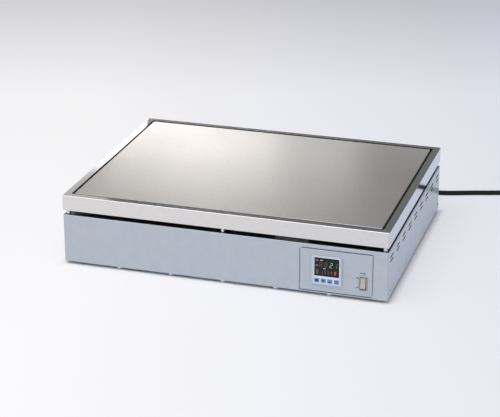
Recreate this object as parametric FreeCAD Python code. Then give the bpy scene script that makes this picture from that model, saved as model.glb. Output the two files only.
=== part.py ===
import FreeCAD, Part
import math
import os

# Laboratory hot plate: a flat heated plate in a stainless frame, carried on short spacers
# above a folded steel case that holds the temperature controller, the power switch and the
# wiring. Millimetres, +Z up. The origin is on the bench at the middle of the footprint,
# and the controls face -Y.

# Overall form
body_width = 530.0
body_depth = 396.0
standing_height = 4.5
case_height = 80.5
air_gap = 7.0
frame_height = 25.5

# Folded case
case_sheet = 1.2
case_bend = 2.0
case_top_lip = 14.0
case_bottom_lip = 12.0
sheet_fit = 1.0
fit = 0.5
slide_fit = 0.2

# Vent slots in both sides and the back
slot_count = 9
slot_margin = 22.0
slot_length = 20.0
slot_width = 2.2
slot_drop = 12.3
slot_row_pitch = 7.3

# Control panel, a plate let into the front
panel_margin = 24.0
panel_width = 114.7
panel_height = 70.0
panel_rise = 3.5
panel_corner = 3.0
panel_seam = 1.0
backing_overlap = 4.0
backing_sheet = 1.2
stud_radius = 1.5
stud_length = 6.0
stud_rows = (18.0, 54.0)

# Temperature controller
bezel_size = 48.0
bezel_depth = 2.6
bezel_edge = 0.8
bezel_wall = 2.0
controller_inset = 43.0
controller_rise = 39.3
controller_body = 44.6
controller_length = 62.0
controller_wall = 1.8
controller_cutout = 45.2
window_width = 39.3
window_height = 30.6
window_right = 0.3
window_up = 6.4
window_pane = 1.5
window_ledge = 1.3
display_gap = 0.5
key_count = 4
key_width = 7.6
key_height = 6.6
key_pitch = 10.35
key_down = 16.4
key_proud = 0.7
key_edge = 0.4
key_flange = 0.8
key_flange_rim = 0.5
key_clear = 0.2
key_travel = 0.4
dome_radius = 2.4
dome_tip_radius = 1.7
dome_height = 0.6
mat_thickness = 1.0
board_thickness = 1.6
socket_width = 24.0
socket_height = 16.0
clamp_wall = 3.0
clamp_depth = 8.0

# Power switch
switch_inset = 14.5
switch_rise = 25.6
switch_bezel_width = 14.0
switch_bezel_height = 22.8
switch_bezel_depth = 1.4
switch_bezel_edge = 0.5
switch_body_width = 12.4
switch_body_height = 21.2
switch_body_length = 17.0
wedge_width = 6.0
wedge_length = 5.0
wedge_rise = 1.0
rocker_width = 8.0
rocker_radius = 9.6
rocker_side_gap = 0.35
rocker_end_gap = 0.4
rocker_pivot_depth = 2.0
rocker_web = 4.2
rocker_valley = 0.8
rocker_back_gap = 2.2
rocker_rest_angle = 11.0
rocker_face_angle = 11.0
trunnion_radius = 1.0
trunnion_length = 0.9
trunnion_clear = 0.06
trunnion_end_gap = 0.15
tab_width = 4.8
tab_length = 8.0
tab_thickness = 0.8

# Base
base_sheet = 1.2
base_side_flange = 16.0
base_vent_inset = 132.5
base_vent_count = 8
base_vent_length = 60.0
base_vent_width = 4.0
base_vent_pitch = 12.0
base_vent_round = 1.8
foot_inset = 45.0
foot_radius = 10.0
foot_taper = 1.5
foot_recess_radius = 5.0
foot_recess_depth = 3.4
front_screw_pitch = 86.4
front_screw_count = 5
side_screw_count = 4
side_screw_margin = 9.0
side_screw_rise = 12.0
lip_screw_depth = 5.0
case_screw_length = 5.0
foot_screw_end = 1.0

# Screws and nuts, M4 and M3
m4_radius = 2.0
m4_head_radius = 3.8
m4_head_height = 2.4
m4_nut_flats = 7.0
m4_nut_height = 3.2
m3_radius = 1.5
m3_head_radius = 2.8
m3_head_height = 1.6
m3_nut_flats = 5.5
m3_nut_height = 2.4
hole_clear = 0.25
thread_clear = 0.05

# Upper unit
frame_sheet = 1.2
frame_bend = 1.0
frame_flange = 12.0
frame_bottom_lip = 12.0
plate_gap = 3.0
plate_thickness = 6.0
plate_edge = 0.8
plate_corner = 2.0
spacer_inset = 7.0
spacer_radius = 3.5
spacer_screw_end = 0.8
cover_sheet = 1.0
tray_sheet = 1.0
tray_rim = 12.0
insulation_thickness = 8.5
insulation_side_rim = 5.0
insulation_end_rim = 1.0

# Sheathed heating element and what holds it up to the plate
element_radius = 3.5
element_rows = 6
element_row_margin = 33.0
element_end_margin = 55.0
element_tail = 30.0
element_pin_radius = 2.0
element_pin_length = 8.0
bar_count = 4
bar_end_inset = 15.0
bar_screw_count = 3
bar_screw_row_count = 2
bar_width = 16.0
bar_thickness = 1.5
bar_overhang = 12.0
standoff_radius = 5.0
sleeve_radius = 4.0
plate_screw_depth = 4.0
plate_screw_gap = 0.5

# Ribs and ducts across the air gap
rail_foot_width = 70.0
rail_top_width = 34.0
rail_sheet = 1.2
rail_setback = 15.0
duct_left = 82.0
duct_width = 54.0
duct_depth = 20.0
duct_wall = 1.0

# Sensing parts under the plate
sensor_x = 8.0
sensor_y = 60.0
sensor_radius = 1.6
sensor_depth = 3.5
sensor_pocket_gap = 0.2
sensor_hex = 8.0
sensor_hex_height = 5.0
thermostat_x = -4.0
thermostat_y = -60.0
thermostat_radius = 8.0
thermostat_height = 8.5
thermostat_flange_radius = 10.0
thermostat_flange = 1.2
thermostat_lead_radius = 1.2
thermostat_lead_gap = 4.0
lead_drop = 7.0
service_hole_length = 30.0
service_hole_width = 14.0

# Parts on the base inside the case
relay_x = 60.0
relay_y = -40.0
relay_width = 45.0
relay_length = 58.0
relay_height = 23.0
relay_corner = 3.0
relay_step = 13.0
relay_step_drop = 5.0
relay_post_inset = 6.5
relay_post_radius = 3.6
relay_post_height = 2.6
sink_width = 70.0
sink_length = 80.0
sink_base = 3.0
sink_fin_height = 14.0
sink_fin_count = 9
sink_fin_thickness = 1.6
block_side_inset = 105.0
block_inset = 68.0
block_poles = 4
block_pole_pitch = 12.0
block_depth = 24.0
block_height = 16.0
block_barrier = 1.6
block_barrier_rise = 5.0
block_end_wall = 4.0
block_screw_radius = 3.0
block_screw_rise = 2.0
earth_side_inset = 65.0
earth_inset = 30.0
earth_length = 12.0
wire_radius = 1.4
signal_wire_radius = 1.1
heater_wire_radius = 1.8
wire_bend = 5.0

# Where the inner wires run: gaps between lanes, and how far they go before they turn
core_pitch = 3.2
core_turn = 26.0
core_turn_pitch = 6.0
switch_lane_pitch = 12.0
switch_turn = 12.0
switch_turn_pitch = 8.0
switch_slant = 20.0
switch_climb = 40.0
switch_approach = 18.0
relay_turn = 14.0
relay_turn_pitch = 8.0
relay_climb = 22.0
relay_arch = 12.0
heater_floor_gap = 1.5
heater_front_side = 10.0
heater_rear_side = 17.0
heater_front_lane = 13.5
heater_rear_lane = 4.0
heater_front_drop = 40.0
heater_rear_drop = 14.0
heater_arch = 14.0
heater_approach = 24.0
signal_drop = 8.0
signal_pitch = 8.0
signal_turn = 24.0
signal_turn_pitch = 6.0
signal_slant = 14.0

# Power cord
cord_radius = 4.2
gland_x = 70.0
gland_rise = 15.5
gland_flange_radius = 9.0
gland_flange = 3.0
gland_hole_radius = 6.5
gland_tail_radius = 6.2
gland_tail_taper = 1.2
gland_tail_length = 32.0
gland_nut_flats = 17.0
gland_nut_height = 5.0
cord_floor_gap = 0.1
exit_run = 28.0
coil_x = 416.8
coil_y = 381.0
coil_mid_radius = 42.0
coil_columns = 3
coil_layers = 2
plug_setback = 12.0
plug_sleeve_length = 25.0
plug_sleeve_radius = 5.6
plug_neck_radius = 4.5
plug_body_length = 34.0
plug_body_width = 26.0
plug_body_height = 22.0
plug_corner = 5.0
blade_width = 6.3
blade_thickness = 1.5
blade_length = 17.0
blade_spacing = 12.7
blade_rise = 2.0
earth_pin_radius = 2.4
earth_pin_drop = 7.0
earth_pin_length = 19.0

# Levels and limits that follow from the sizes above
half_width = body_width / 2
half_depth = body_depth / 2
case_bottom = standing_height
case_top = case_bottom + case_height
frame_bottom = case_top + air_gap
frame_top = frame_bottom + frame_height
cover_top = case_top - case_sheet
cover_bottom = cover_top - cover_sheet
tray_bottom = frame_bottom + frame_sheet
lead_end = cover_bottom - lead_drop
tray_floor = tray_bottom + tray_sheet
plate_bottom = frame_top - plate_thickness
element_z = plate_bottom - element_radius
bar_top = plate_bottom - 2 * element_radius
bar_bottom = bar_top - bar_thickness
base_bottom = case_bottom + case_sheet
base_top = base_bottom + base_sheet
front = -half_depth
rear = half_depth
panel_right = half_width - panel_margin
panel_left = panel_right - panel_width
controller_x = panel_left + controller_inset
switch_x = panel_right - switch_inset
panel_bottom = case_bottom + panel_rise
panel_top = panel_bottom + panel_height
controller_z = case_bottom + controller_rise
bezel_front = front - bezel_depth
switch_z = case_bottom + switch_rise
panel_back = front + case_sheet
spacer_places = [
    (x * (half_width - spacer_inset), y * (half_depth - spacer_inset))
    for x in (-1, 0, 1)
    for y in (-1, 1)
]
plate_x = half_width - frame_flange - plate_gap
plate_y = half_depth - frame_flange - plate_gap
element_run_half = plate_x - element_end_margin
element_end = element_run_half + element_tail
element_first_row = plate_y - element_row_margin
element_row_pitch = 2 * element_first_row / (element_rows - 1)
bar_reach = element_first_row + bar_overhang
bar_pitch = 2 * (element_run_half - bar_end_inset) / (bar_count - 1)
bar_places = [(index - (bar_count - 1) / 2) * bar_pitch for index in range(bar_count)]
bar_screw_pitch = bar_screw_row_count * element_row_pitch
plate_screw_places = [
    (x, (index - (bar_screw_count - 1) / 2) * bar_screw_pitch)
    for x in bar_places
    for index in range(bar_screw_count)
]
block_x = half_width - block_side_inset
block_y = half_depth - block_inset
earth_x = half_width - earth_side_inset
earth_y = half_depth - earth_inset
foot_places = [
    (x * (half_width - foot_inset), y * (half_depth - foot_inset))
    for x in (-1, 1)
    for y in (-1, 1)
]
front_screw_places = [
    (index - (front_screw_count - 1) / 2) * front_screw_pitch
    for index in range(front_screw_count)
]
side_screw_pitch = (body_depth - 2 * side_screw_margin) / (side_screw_count - 1)
side_screw_places = [
    front + side_screw_margin + index * side_screw_pitch
    for index in range(side_screw_count)
]

X = FreeCAD.Vector(1, 0, 0)
Y = FreeCAD.Vector(0, 1, 0)
Z = FreeCAD.Vector(0, 0, 1)


# Shapes used by several pieces
def block(x0, x1, y0, y1, z0, z1):
    """A plain block between two corners."""
    corner = FreeCAD.Vector(x0, y0, z0)
    return Part.makeBox(x1 - x0, y1 - y0, z1 - z0, corner)


def soft_block(x0, x1, y0, y1, z0, z1, radius):
    """A block with every edge rounded."""
    solid = block(x0, x1, y0, y1, z0, z1)
    return solid.makeFillet(radius, solid.Edges)


def edges_along(solid, axis):
    """The straight edges that run along a unit axis."""
    found = []
    for edge in solid.Edges:
        run = edge.Vertexes[-1].Point - edge.Vertexes[0].Point
        if run.Length > 0 and abs(run.dot(axis)) > 0.999 * run.Length:
            found.append(edge)
    return found


def upright_block(x0, x1, y0, y1, z0, z1, radius):
    """A block with its four standing edges rounded."""
    solid = block(x0, x1, y0, y1, z0, z1)
    return solid.makeFillet(radius, edges_along(solid, Z))


def rod(radius, start, axis, length):
    """A round bar from a start point."""
    return Part.makeCylinder(radius, length, start, axis)


def cut_all(solid, tools):
    """The solid less every tool."""
    return solid.cut(Part.makeCompound(tools))


def group(solids):
    """Separate solids that make up one node."""
    return Part.makeCompound(solids)


def pan_screw(radius, head_radius, head_height, seat, direction, length):
    """A pan-head screw. The seat is under the head, and the shank runs on in the direction."""
    head = rod(head_radius, seat, direction * -1, head_height)
    crown = [edge for edge in head.Edges if edge.Curve.TypeId == "Part::GeomCircle"]
    crown.sort(key=lambda edge: edge.Curve.Center.sub(seat).dot(direction))
    head = head.makeFillet(0.4 * head_height, crown[:1])
    return head.fuse(rod(radius, seat, direction, length)).removeSplitter()


def hexagon(flats, base, axis, height):
    """A hexagonal bar."""
    corner_radius = flats / math.sqrt(3)
    across = Y if abs(axis.dot(Y)) < 0.5 else X
    points = []
    for index in range(7):
        turn = FreeCAD.Rotation(axis, 60 * index)
        points.append(base + turn.multVec(across * corner_radius))
    return Part.Face(Part.makePolygon(points)).extrude(axis * height)


def nut(flats, bore, base, axis, height):
    """A hexagonal nut."""
    return hexagon(flats, base, axis, height).cut(rod(bore, base, axis, height))


def route_edges(points, share=None, bend=None):
    """Straight runs joined by tangent arcs, and the arcs' radii."""
    points = [FreeCAD.Vector(*point) for point in points]
    edges = []
    radii = []
    start = points[0]
    for before, corner, after in zip(points, points[1:], points[2:]):
        back = before - corner
        ahead = after - corner
        back_length = back.Length
        ahead_length = ahead.Length
        back.normalize()
        ahead.normalize()
        half_turn = (math.pi - math.acos(max(-1.0, min(1.0, back.dot(ahead))))) / 2
        if share is None:
            radius = bend
            reach = bend * math.tan(half_turn)
        else:
            reach = share * min(back_length, ahead_length)
            radius = reach / math.tan(half_turn)
        radii.append(radius)
        arc_start = corner + back * reach
        arc_end = corner + ahead * reach
        inward = back + ahead
        inward.normalize()
        middle = corner + inward * (radius / math.cos(half_turn) - radius)
        edges.append(Part.LineSegment(start, arc_start).toShape())
        edges.append(Part.Arc(arc_start, middle, arc_end).toShape())
        start = arc_end
    edges.append(Part.LineSegment(start, points[-1]).toShape())
    return edges, radii


def tube(points, radius, share=None, bend=None):
    """A round tube along a route."""
    edges, radii = route_edges(points, share, bend)
    wire = Part.Wire(edges)
    start = FreeCAD.Vector(*points[0])
    heading = FreeCAD.Vector(*points[1]) - start
    profile = Part.Wire([Part.makeCircle(radius, start, heading)])
    solid = wire.makePipeShell([profile], True, False)
    expected = math.pi * radius**2 * wire.Length
    return solid, radii, wire.Length, solid.Volume / expected


# Lower case
def case_section():
    """The folded sheet before its openings: four walls with lips turned in above and below."""
    outer = soft_block(
        -half_width, half_width, front, rear, case_bottom, case_top, case_bend
    )
    inner = soft_block(
        -half_width + case_sheet,
        half_width - case_sheet,
        front + case_sheet,
        rear - case_sheet,
        case_bottom + case_sheet,
        case_top - case_sheet,
        case_bend - case_sheet,
    )
    above = block(
        -half_width + case_top_lip,
        half_width - case_top_lip,
        front + case_top_lip,
        rear - case_top_lip,
        case_top - 2 * case_sheet,
        case_top + case_sheet,
    )
    below = block(
        -half_width + case_bottom_lip,
        half_width - case_bottom_lip,
        front + case_bottom_lip,
        rear - case_bottom_lip,
        case_bottom - case_sheet,
        case_bottom + 2 * case_sheet,
    )
    return cut_all(outer, [inner, above, below])


def slot(centre, along, through):
    """A slot with round ends, as a cutter."""
    run = along * (slot_length - slot_width)
    ends = [centre - run / 2, centre + run / 2]
    depth = through * (4 * case_sheet)
    side = along.cross(through) * (slot_width / 2)
    corners = [ends[0] - side, ends[1] - side, ends[1] + side, ends[0] + side]
    edges = [
        Part.LineSegment(corners[0], corners[1]).toShape(),
        Part.Arc(corners[1], ends[1] + along * (slot_width / 2), corners[2]).toShape(),
        Part.LineSegment(corners[2], corners[3]).toShape(),
        Part.Arc(corners[3], ends[0] - along * (slot_width / 2), corners[0]).toShape(),
    ]
    face = Part.Face(Part.Wire(edges))
    face.translate(depth * -0.5)
    return face.extrude(depth)


def vent_slots():
    """Pairs of slots near the top of both sides and the back."""
    pitch = (body_depth - 2 * slot_margin) / (slot_count - 1)
    cutters = []
    for index in range(slot_count):
        place = front + slot_margin + index * pitch
        for row in range(2):
            height = case_top - slot_drop - row * slot_row_pitch
            for side in (-1, 1):
                middle = FreeCAD.Vector(side * half_width, place, height)
                cutters.append(slot(middle, Y, X))
            behind = FreeCAD.Vector(index * pitch - (half_depth - slot_margin), rear, height)
            cutters.append(slot(behind, X, Y))
    return cutters


def panel_prism(margin, y0, y1):
    """The control panel's outline, grown by a margin."""
    solid = block(
        panel_left - margin,
        panel_right + margin,
        y0,
        y1,
        panel_bottom - margin,
        panel_top + margin,
    )
    return solid.makeFillet(panel_corner, edges_along(solid, Y))


def lip_holes(radius):
    """Cutters for the screws that pass up through the case's lower lips."""
    holes = []
    for x in front_screw_places:
        for y in (front + lip_screw_depth, rear - lip_screw_depth):
            holes.append(
                rod(radius, FreeCAD.Vector(x, y, 0), Z, base_top + base_sheet)
            )
    return holes


def side_holes(radius):
    """Cutters for the screws through the case's sides."""
    holes = []
    for y in side_screw_places:
        for side in (-1, 1):
            start = FreeCAD.Vector(side * (half_width - 6), y, case_bottom + side_screw_rise)
            holes.append(rod(radius, start, X * side, 10))
    return holes


def spacer_holes(radius):
    """Cutters on the lines of the spacer screws, through every sheet they clamp."""
    return [
        rod(radius, FreeCAD.Vector(x, y, cover_bottom - 1), Z, tray_floor - cover_bottom + 2)
        for x, y in spacer_places
    ]


def case_shell():
    """Painted steel sheet folded into a four-sided case."""
    panel_opening = panel_prism(panel_seam, front - 1, panel_back + 1)
    gland_hole = rod(
        gland_hole_radius,
        FreeCAD.Vector(gland_x, rear - 2 * case_sheet, case_bottom + gland_rise),
        Y,
        4 * case_sheet,
    )
    cutters = [panel_opening, gland_hole]
    cutters += vent_slots()
    cutters += lip_holes(m4_radius + hole_clear)
    cutters += side_holes(m3_radius + hole_clear)
    cutters += spacer_holes(m4_radius + hole_clear)
    return cut_all(case_section(), cutters)


def stud_points():
    """Where the panel's weld studs stand, at the middle of the backing strip's overlap."""
    inset = backing_overlap / 2
    return [
        FreeCAD.Vector(x, panel_back, case_bottom + rise)
        for x in (panel_left + inset, panel_right - inset)
        for rise in stud_rows
    ]


def control_panel():
    """Plate of the case's own sheet, level with its face, with weld studs on its back."""
    plate = panel_prism(0, front, panel_back)
    half = controller_cutout / 2
    controller_hole = block(
        controller_x - half,
        controller_x + half,
        front - 1,
        panel_back + 1,
        controller_z - half,
        controller_z + half,
    )
    half_w = switch_body_width / 2 + slide_fit
    half_h = switch_body_height / 2 + slide_fit
    switch_hole = block(
        switch_x - half_w,
        switch_x + half_w,
        front - 1,
        panel_back + 1,
        switch_z - half_h,
        switch_z + half_h,
    )
    plate = cut_all(plate, [controller_hole, switch_hole])
    for point in stud_points():
        plate = plate.fuse(rod(stud_radius, point, Y, stud_length))
    return plate


def panel_backing():
    """Strip spot-welded behind the case round the panel opening. The panel's studs pass it."""
    y0 = panel_back
    y1 = y0 + backing_sheet
    strip = panel_prism(backing_overlap, y0, y1)
    middle = panel_prism(-backing_overlap, y0 - 1, y1 + 1)
    base_room = block(-half_width, half_width, y0 - 1, y1 + 1, 0, base_top + fit)
    holes = [
        rod(stud_radius + hole_clear, point - Y, Y, 2 * stud_length)
        for point in stud_points()
    ]
    return cut_all(strip, [middle, base_room] + holes)


def panel_nuts():
    """Nuts on the panel's studs."""
    bore = stud_radius + thread_clear
    return group(
        [
            nut(m3_nut_flats, bore, point + Y * backing_sheet, Y, m3_nut_height)
            for point in stud_points()
        ]
    )


# Base
def base_plate():
    """Bottom sheet on the case's lower lips, with a flange turned up along each side."""
    edge = case_sheet + sheet_fit
    x1 = half_width - edge
    y1 = half_depth - edge
    sheet = block(-x1, x1, -y1, y1, base_bottom, base_top)
    for side in (-1, 1):
        outer = side * x1
        inner = side * (x1 - base_sheet)
        flange = block(
            min(outer, inner),
            max(outer, inner),
            -y1,
            y1,
            base_bottom,
            base_bottom + base_side_flange,
        )
        sheet = sheet.fuse(flange)
    vents = []
    for index in range(base_vent_count):
        y = (index - (base_vent_count - 1) / 2) * base_vent_pitch
        for x in (base_vent_inset - half_width, half_width - base_vent_inset):
            vents.append(
                upright_block(
                    x - base_vent_length / 2,
                    x + base_vent_length / 2,
                    y - base_vent_width / 2,
                    y + base_vent_width / 2,
                    base_bottom - 1,
                    base_top + 1,
                    base_vent_round,
                )
            )
    feet = [
        rod(m4_radius + hole_clear, FreeCAD.Vector(x, y, base_bottom - 1), Z, 4)
        for x, y in foot_places
    ]
    cutters = lip_holes(m4_radius + thread_clear)
    cutters += side_holes(m3_radius + thread_clear)
    return cut_all(sheet.removeSplitter(), vents + feet + cutters)


def base_screws():
    """Screws up through the lower lips into the base."""
    screws = []
    for x in front_screw_places:
        for y in (front + lip_screw_depth, rear - lip_screw_depth):
            seat = FreeCAD.Vector(x, y, case_bottom)
            screws.append(
                pan_screw(
                    m4_radius, m4_head_radius, m4_head_height, seat, Z, case_screw_length
                )
            )
    return group(screws)


def side_screws():
    """Screws through the case's sides into the base's flanges."""
    screws = []
    for y in side_screw_places:
        for side in (-1, 1):
            seat = FreeCAD.Vector(side * half_width, y, case_bottom + side_screw_rise)
            screws.append(
                pan_screw(
                    m3_radius,
                    m3_head_radius,
                    m3_head_height,
                    seat,
                    X * -side,
                    case_screw_length,
                )
            )
    return group(screws)


def feet():
    """Tapered rubber feet with a recess for their screw."""
    made = []
    for x, y in foot_places:
        centre = FreeCAD.Vector(x, y, 0)
        foot = Part.makeCone(foot_radius - foot_taper, foot_radius, base_bottom, centre, Z)
        recess = rod(foot_recess_radius, centre, Z, foot_recess_depth)
        bore = rod(m4_radius + hole_clear, centre, Z, base_bottom)
        made.append(cut_all(foot, [recess, bore]))
    return group(made)


def foot_screws():
    """Screws that hold the feet."""
    length = base_top - foot_recess_depth + m4_nut_height + foot_screw_end
    return group(
        [
            pan_screw(
                m4_radius,
                m4_head_radius,
                m4_head_height,
                FreeCAD.Vector(x, y, foot_recess_depth),
                Z,
                length,
            )
            for x, y in foot_places
        ]
    )


def foot_nuts():
    """Nuts on the base above the feet."""
    bore = m4_radius + thread_clear
    return group(
        [
            nut(m4_nut_flats, bore, FreeCAD.Vector(x, y, base_top), Z, m4_nut_height)
            for x, y in foot_places
        ]
    )


# Temperature controller
wall_back = bezel_front + bezel_wall
mat_front = wall_back + key_flange + key_travel + dome_height
board_front = mat_front + mat_thickness
key_z = controller_z - key_down
window_x = controller_x + window_right
window_z = controller_z + window_up
cavity = controller_body - 2 * controller_wall
key_places = [
    window_x + (index - (key_count - 1) / 2) * key_pitch for index in range(key_count)
]


def framed(x, z, width, height, y0, y1):
    """A block centred on x and z."""
    return block(x - width / 2, x + width / 2, y0, y1, z - height / 2, z + height / 2)


def controller_housing():
    """Moulded housing with its square bezel in front of the panel."""
    bezel = framed(controller_x, controller_z, bezel_size, bezel_size, bezel_front, front)
    front_edges = [edge for edge in bezel.Edges if edge.BoundBox.YMax < front - 0.01]
    corner_edges = edges_along(bezel, Y)
    bezel = bezel.makeFillet(bezel_edge, front_edges + corner_edges)
    back = front + controller_length
    body = framed(
        controller_x, controller_z, controller_body, controller_body, front, back
    )
    hollow = framed(
        controller_x, controller_z, cavity, cavity, wall_back, back - controller_wall
    )
    recess = framed(
        window_x, window_z, window_width, window_height, bezel_front - 1,
        bezel_front + window_pane,
    )
    sight = framed(
        window_x,
        window_z,
        window_width - 2 * window_ledge,
        window_height - 2 * window_ledge,
        bezel_front - 1,
        wall_back + 1,
    )
    key_holes = [
        framed(
            x, key_z, key_width + 2 * key_clear, key_height + 2 * key_clear,
            bezel_front - 1, wall_back + 1,
        )
        for x in key_places
    ]
    shell = bezel.fuse(body).removeSplitter()
    return cut_all(shell, [hollow, recess, sight] + key_holes)


def controller_window():
    """Smoked pane let in flush with the bezel."""
    return framed(
        window_x,
        window_z,
        window_width - slide_fit,
        window_height - slide_fit,
        bezel_front,
        bezel_front + window_pane,
    )


def display_module():
    """Digit block on the board behind the pane."""
    return framed(
        window_x,
        window_z,
        window_width - 2 * window_ledge - 2 * display_gap,
        window_height - 2 * window_ledge - 2 * display_gap,
        wall_back - slide_fit,
        board_front,
    )


def controller_board():
    """Circuit board across the housing, with a connector block on its back."""
    board = framed(
        controller_x,
        controller_z,
        cavity - slide_fit,
        cavity - slide_fit,
        board_front,
        board_front + board_thickness,
    )
    rear_block = framed(
        controller_x,
        controller_z,
        socket_width,
        socket_height,
        board_front + board_thickness,
        front + controller_length - controller_wall,
    )
    return board.fuse(rear_block)


def key_mat():
    """Rubber mat with a dome under each key."""
    mat = framed(
        controller_x,
        key_z,
        cavity - 2 * fit,
        key_height + 2 * key_flange_rim,
        mat_front,
        board_front,
    )
    for x in key_places:
        start = FreeCAD.Vector(x, mat_front - dome_height, key_z)
        dome = Part.makeCone(dome_tip_radius, dome_radius, dome_height, start, Y)
        mat = mat.fuse(dome)
    return mat


def key(x):
    """A push key: a cap through the bezel and a flange behind it."""
    cap = framed(x, key_z, key_width, key_height, bezel_front - key_proud, wall_back)
    lip = [edge for edge in cap.Edges if edge.BoundBox.YMax < bezel_front - 0.01]
    cap = cap.makeFillet(key_edge, lip + edges_along(cap, Y))
    flange = framed(
        x,
        key_z,
        key_width + 2 * key_flange_rim,
        key_height + 2 * key_flange_rim,
        wall_back,
        wall_back + key_flange,
    )
    return cap.fuse(flange)


def controller_clamp():
    """Collar that draws the controller against the back of the panel."""
    outer = controller_body + 2 * clamp_wall
    inner = controller_body + 2 * slide_fit
    ring = framed(
        controller_x, controller_z, outer, outer, panel_back, panel_back + clamp_depth
    )
    opening = framed(
        controller_x, controller_z, inner, inner, panel_back - 1,
        panel_back + clamp_depth + 1,
    )
    return ring.cut(opening)


# Power switch
switch_front = front - switch_bezel_depth
rocker_pivot = FreeCAD.Vector(switch_x, front + rocker_pivot_depth, switch_z)


def switch_body():
    """Moulded switch frame with a pocket for the rocker, held by wedges behind the panel."""
    bezel = framed(
        switch_x, switch_z, switch_bezel_width, switch_bezel_height, switch_front, front
    )
    lip = [edge for edge in bezel.Edges if edge.BoundBox.YMax < front - 0.01]
    bezel = bezel.makeFillet(switch_bezel_edge, lip + edges_along(bezel, Y))
    back = front + switch_body_length
    body = framed(
        switch_x, switch_z, switch_body_width, switch_body_height, front, back
    )
    for side in (-1, 1):
        tip = switch_z + side * (switch_body_height / 2)
        x = switch_x - wedge_width / 2
        y = panel_back + slide_fit
        points = [
            FreeCAD.Vector(x, y, tip),
            FreeCAD.Vector(x, y, tip + side * wedge_rise),
            FreeCAD.Vector(x, panel_back + wedge_length, tip),
            FreeCAD.Vector(x, y, tip),
        ]
        wedge = Part.Face(Part.makePolygon(points)).extrude(X * wedge_width)
        body = body.fuse(wedge)
    pocket_width = rocker_width + 2 * rocker_side_gap
    pocket_height = 2 * (rocker_radius + rocker_end_gap)
    pocket = framed(
        switch_x,
        switch_z,
        pocket_width,
        pocket_height,
        switch_front - 1,
        rocker_pivot.y + rocker_web + rocker_back_gap,
    )
    bore = rod(
        trunnion_radius + trunnion_clear,
        rocker_pivot - X * (rocker_width / 2 + trunnion_length + trunnion_end_gap),
        X,
        rocker_width + 2 * (trunnion_length + trunnion_end_gap),
    )
    return cut_all(bezel.fuse(body).removeSplitter(), [pocket, bore])


def switch_tabs():
    """Push-on terminals out of the back of the switch."""
    back = front + switch_body_length
    tabs = []
    for side in (-1, 1):
        tabs.append(
            framed(
                switch_x,
                switch_z + side * switch_body_height / 4,
                tab_width,
                tab_thickness,
                back,
                back + tab_length,
            )
        )
    return group(tabs)


def switch_rocker():
    """Rocker with two faces that meet in a shallow valley, and ends round about its pivot."""
    barrel = rod(
        rocker_radius, rocker_pivot - X * (rocker_width / 2), X, rocker_width
    )
    valley = rocker_pivot_depth + switch_bezel_depth + rocker_valley
    reach = 2 * rocker_radius
    rise = reach * math.tan(math.radians(rocker_face_angle))
    y = rocker_pivot.y
    z = rocker_pivot.z
    outline = [
        (y - valley, z),
        (y - valley - rise, z + reach),
        (y + rocker_web, z + reach),
        (y + rocker_web, z - reach),
        (y - valley - rise, z - reach),
        (y - valley, z),
    ]
    side = [FreeCAD.Vector(switch_x - rocker_width, py, pz) for py, pz in outline]
    stock = Part.Face(Part.makePolygon(side)).extrude(X * (2 * rocker_width))
    pins = rod(
        trunnion_radius,
        rocker_pivot - X * (rocker_width / 2 + trunnion_length),
        X,
        rocker_width + 2 * trunnion_length,
    )
    body = barrel.common(stock).fuse(pins)
    body.rotate(rocker_pivot, X, -rocker_rest_angle)
    return body


# Upper unit
def top_frame():
    """Stainless frame: a flange round the plate, a skirt and a lip turned in below."""
    outer = soft_block(
        -half_width, half_width, front, rear, frame_bottom, frame_top, frame_bend
    )
    inner = block(
        -half_width + frame_sheet,
        half_width - frame_sheet,
        front + frame_sheet,
        rear - frame_sheet,
        frame_bottom + frame_sheet,
        frame_top - frame_sheet,
    )
    window = block(
        -half_width + frame_flange,
        half_width - frame_flange,
        front + frame_flange,
        rear - frame_flange,
        frame_top - 2 * frame_sheet,
        frame_top + 1,
    )
    below = block(
        -half_width + frame_bottom_lip,
        half_width - frame_bottom_lip,
        front + frame_bottom_lip,
        rear - frame_bottom_lip,
        frame_bottom - 1,
        frame_bottom + 2 * frame_sheet,
    )
    holes = spacer_holes(m4_radius + hole_clear)
    return cut_all(outer, [inner, window, below] + holes)


def heating_plate():
    """Flat plate, level with the flange, with blind screw holes and a sensor pocket below."""
    plate = upright_block(
        -plate_x, plate_x, -plate_y, plate_y, plate_bottom, frame_top, plate_corner
    )
    rim = [edge for edge in plate.Edges if edge.BoundBox.ZMin > frame_top - 0.01]
    plate = plate.makeFillet(plate_edge, rim)
    pockets = [
        rod(
            m4_radius + thread_clear,
            FreeCAD.Vector(x, y, plate_bottom - 1),
            Z,
            plate_screw_depth + 1,
        )
        for x, y in plate_screw_places
    ]
    pockets.append(
        rod(
            sensor_radius + thread_clear,
            FreeCAD.Vector(sensor_x, sensor_y, plate_bottom - 1),
            Z,
            sensor_depth + sensor_pocket_gap + 1,
        )
    )
    return cut_all(plate, pockets)


def heating_element():
    """Sheathed element bent to and fro under the plate, with a terminal pin at each end."""
    half_pitch = element_row_pitch / 2
    first = -element_first_row
    edges = []
    side = 1
    entry = FreeCAD.Vector(element_end, first, element_z)
    at = entry
    for row in range(element_rows):
        y = first + row * element_row_pitch
        side = -side
        last = row == element_rows - 1
        x = element_end if last else side * element_run_half
        end = FreeCAD.Vector(x, y, element_z)
        edges.append(Part.LineSegment(at, end).toShape())
        if not last:
            bulge = FreeCAD.Vector(
                side * (element_run_half + half_pitch), y + half_pitch, element_z
            )
            at = end + Y * element_row_pitch
            edges.append(Part.Arc(end, bulge, at).toShape())
    wire = Part.Wire(edges)
    profile = Part.Wire([Part.makeCircle(element_radius, entry, X)])
    solid = wire.makePipeShell([profile], True, False)
    for y in (first, -first):
        start = FreeCAD.Vector(element_end, y, element_z)
        solid = solid.fuse(rod(element_pin_radius, start, X, element_pin_length))
    return solid


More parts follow.
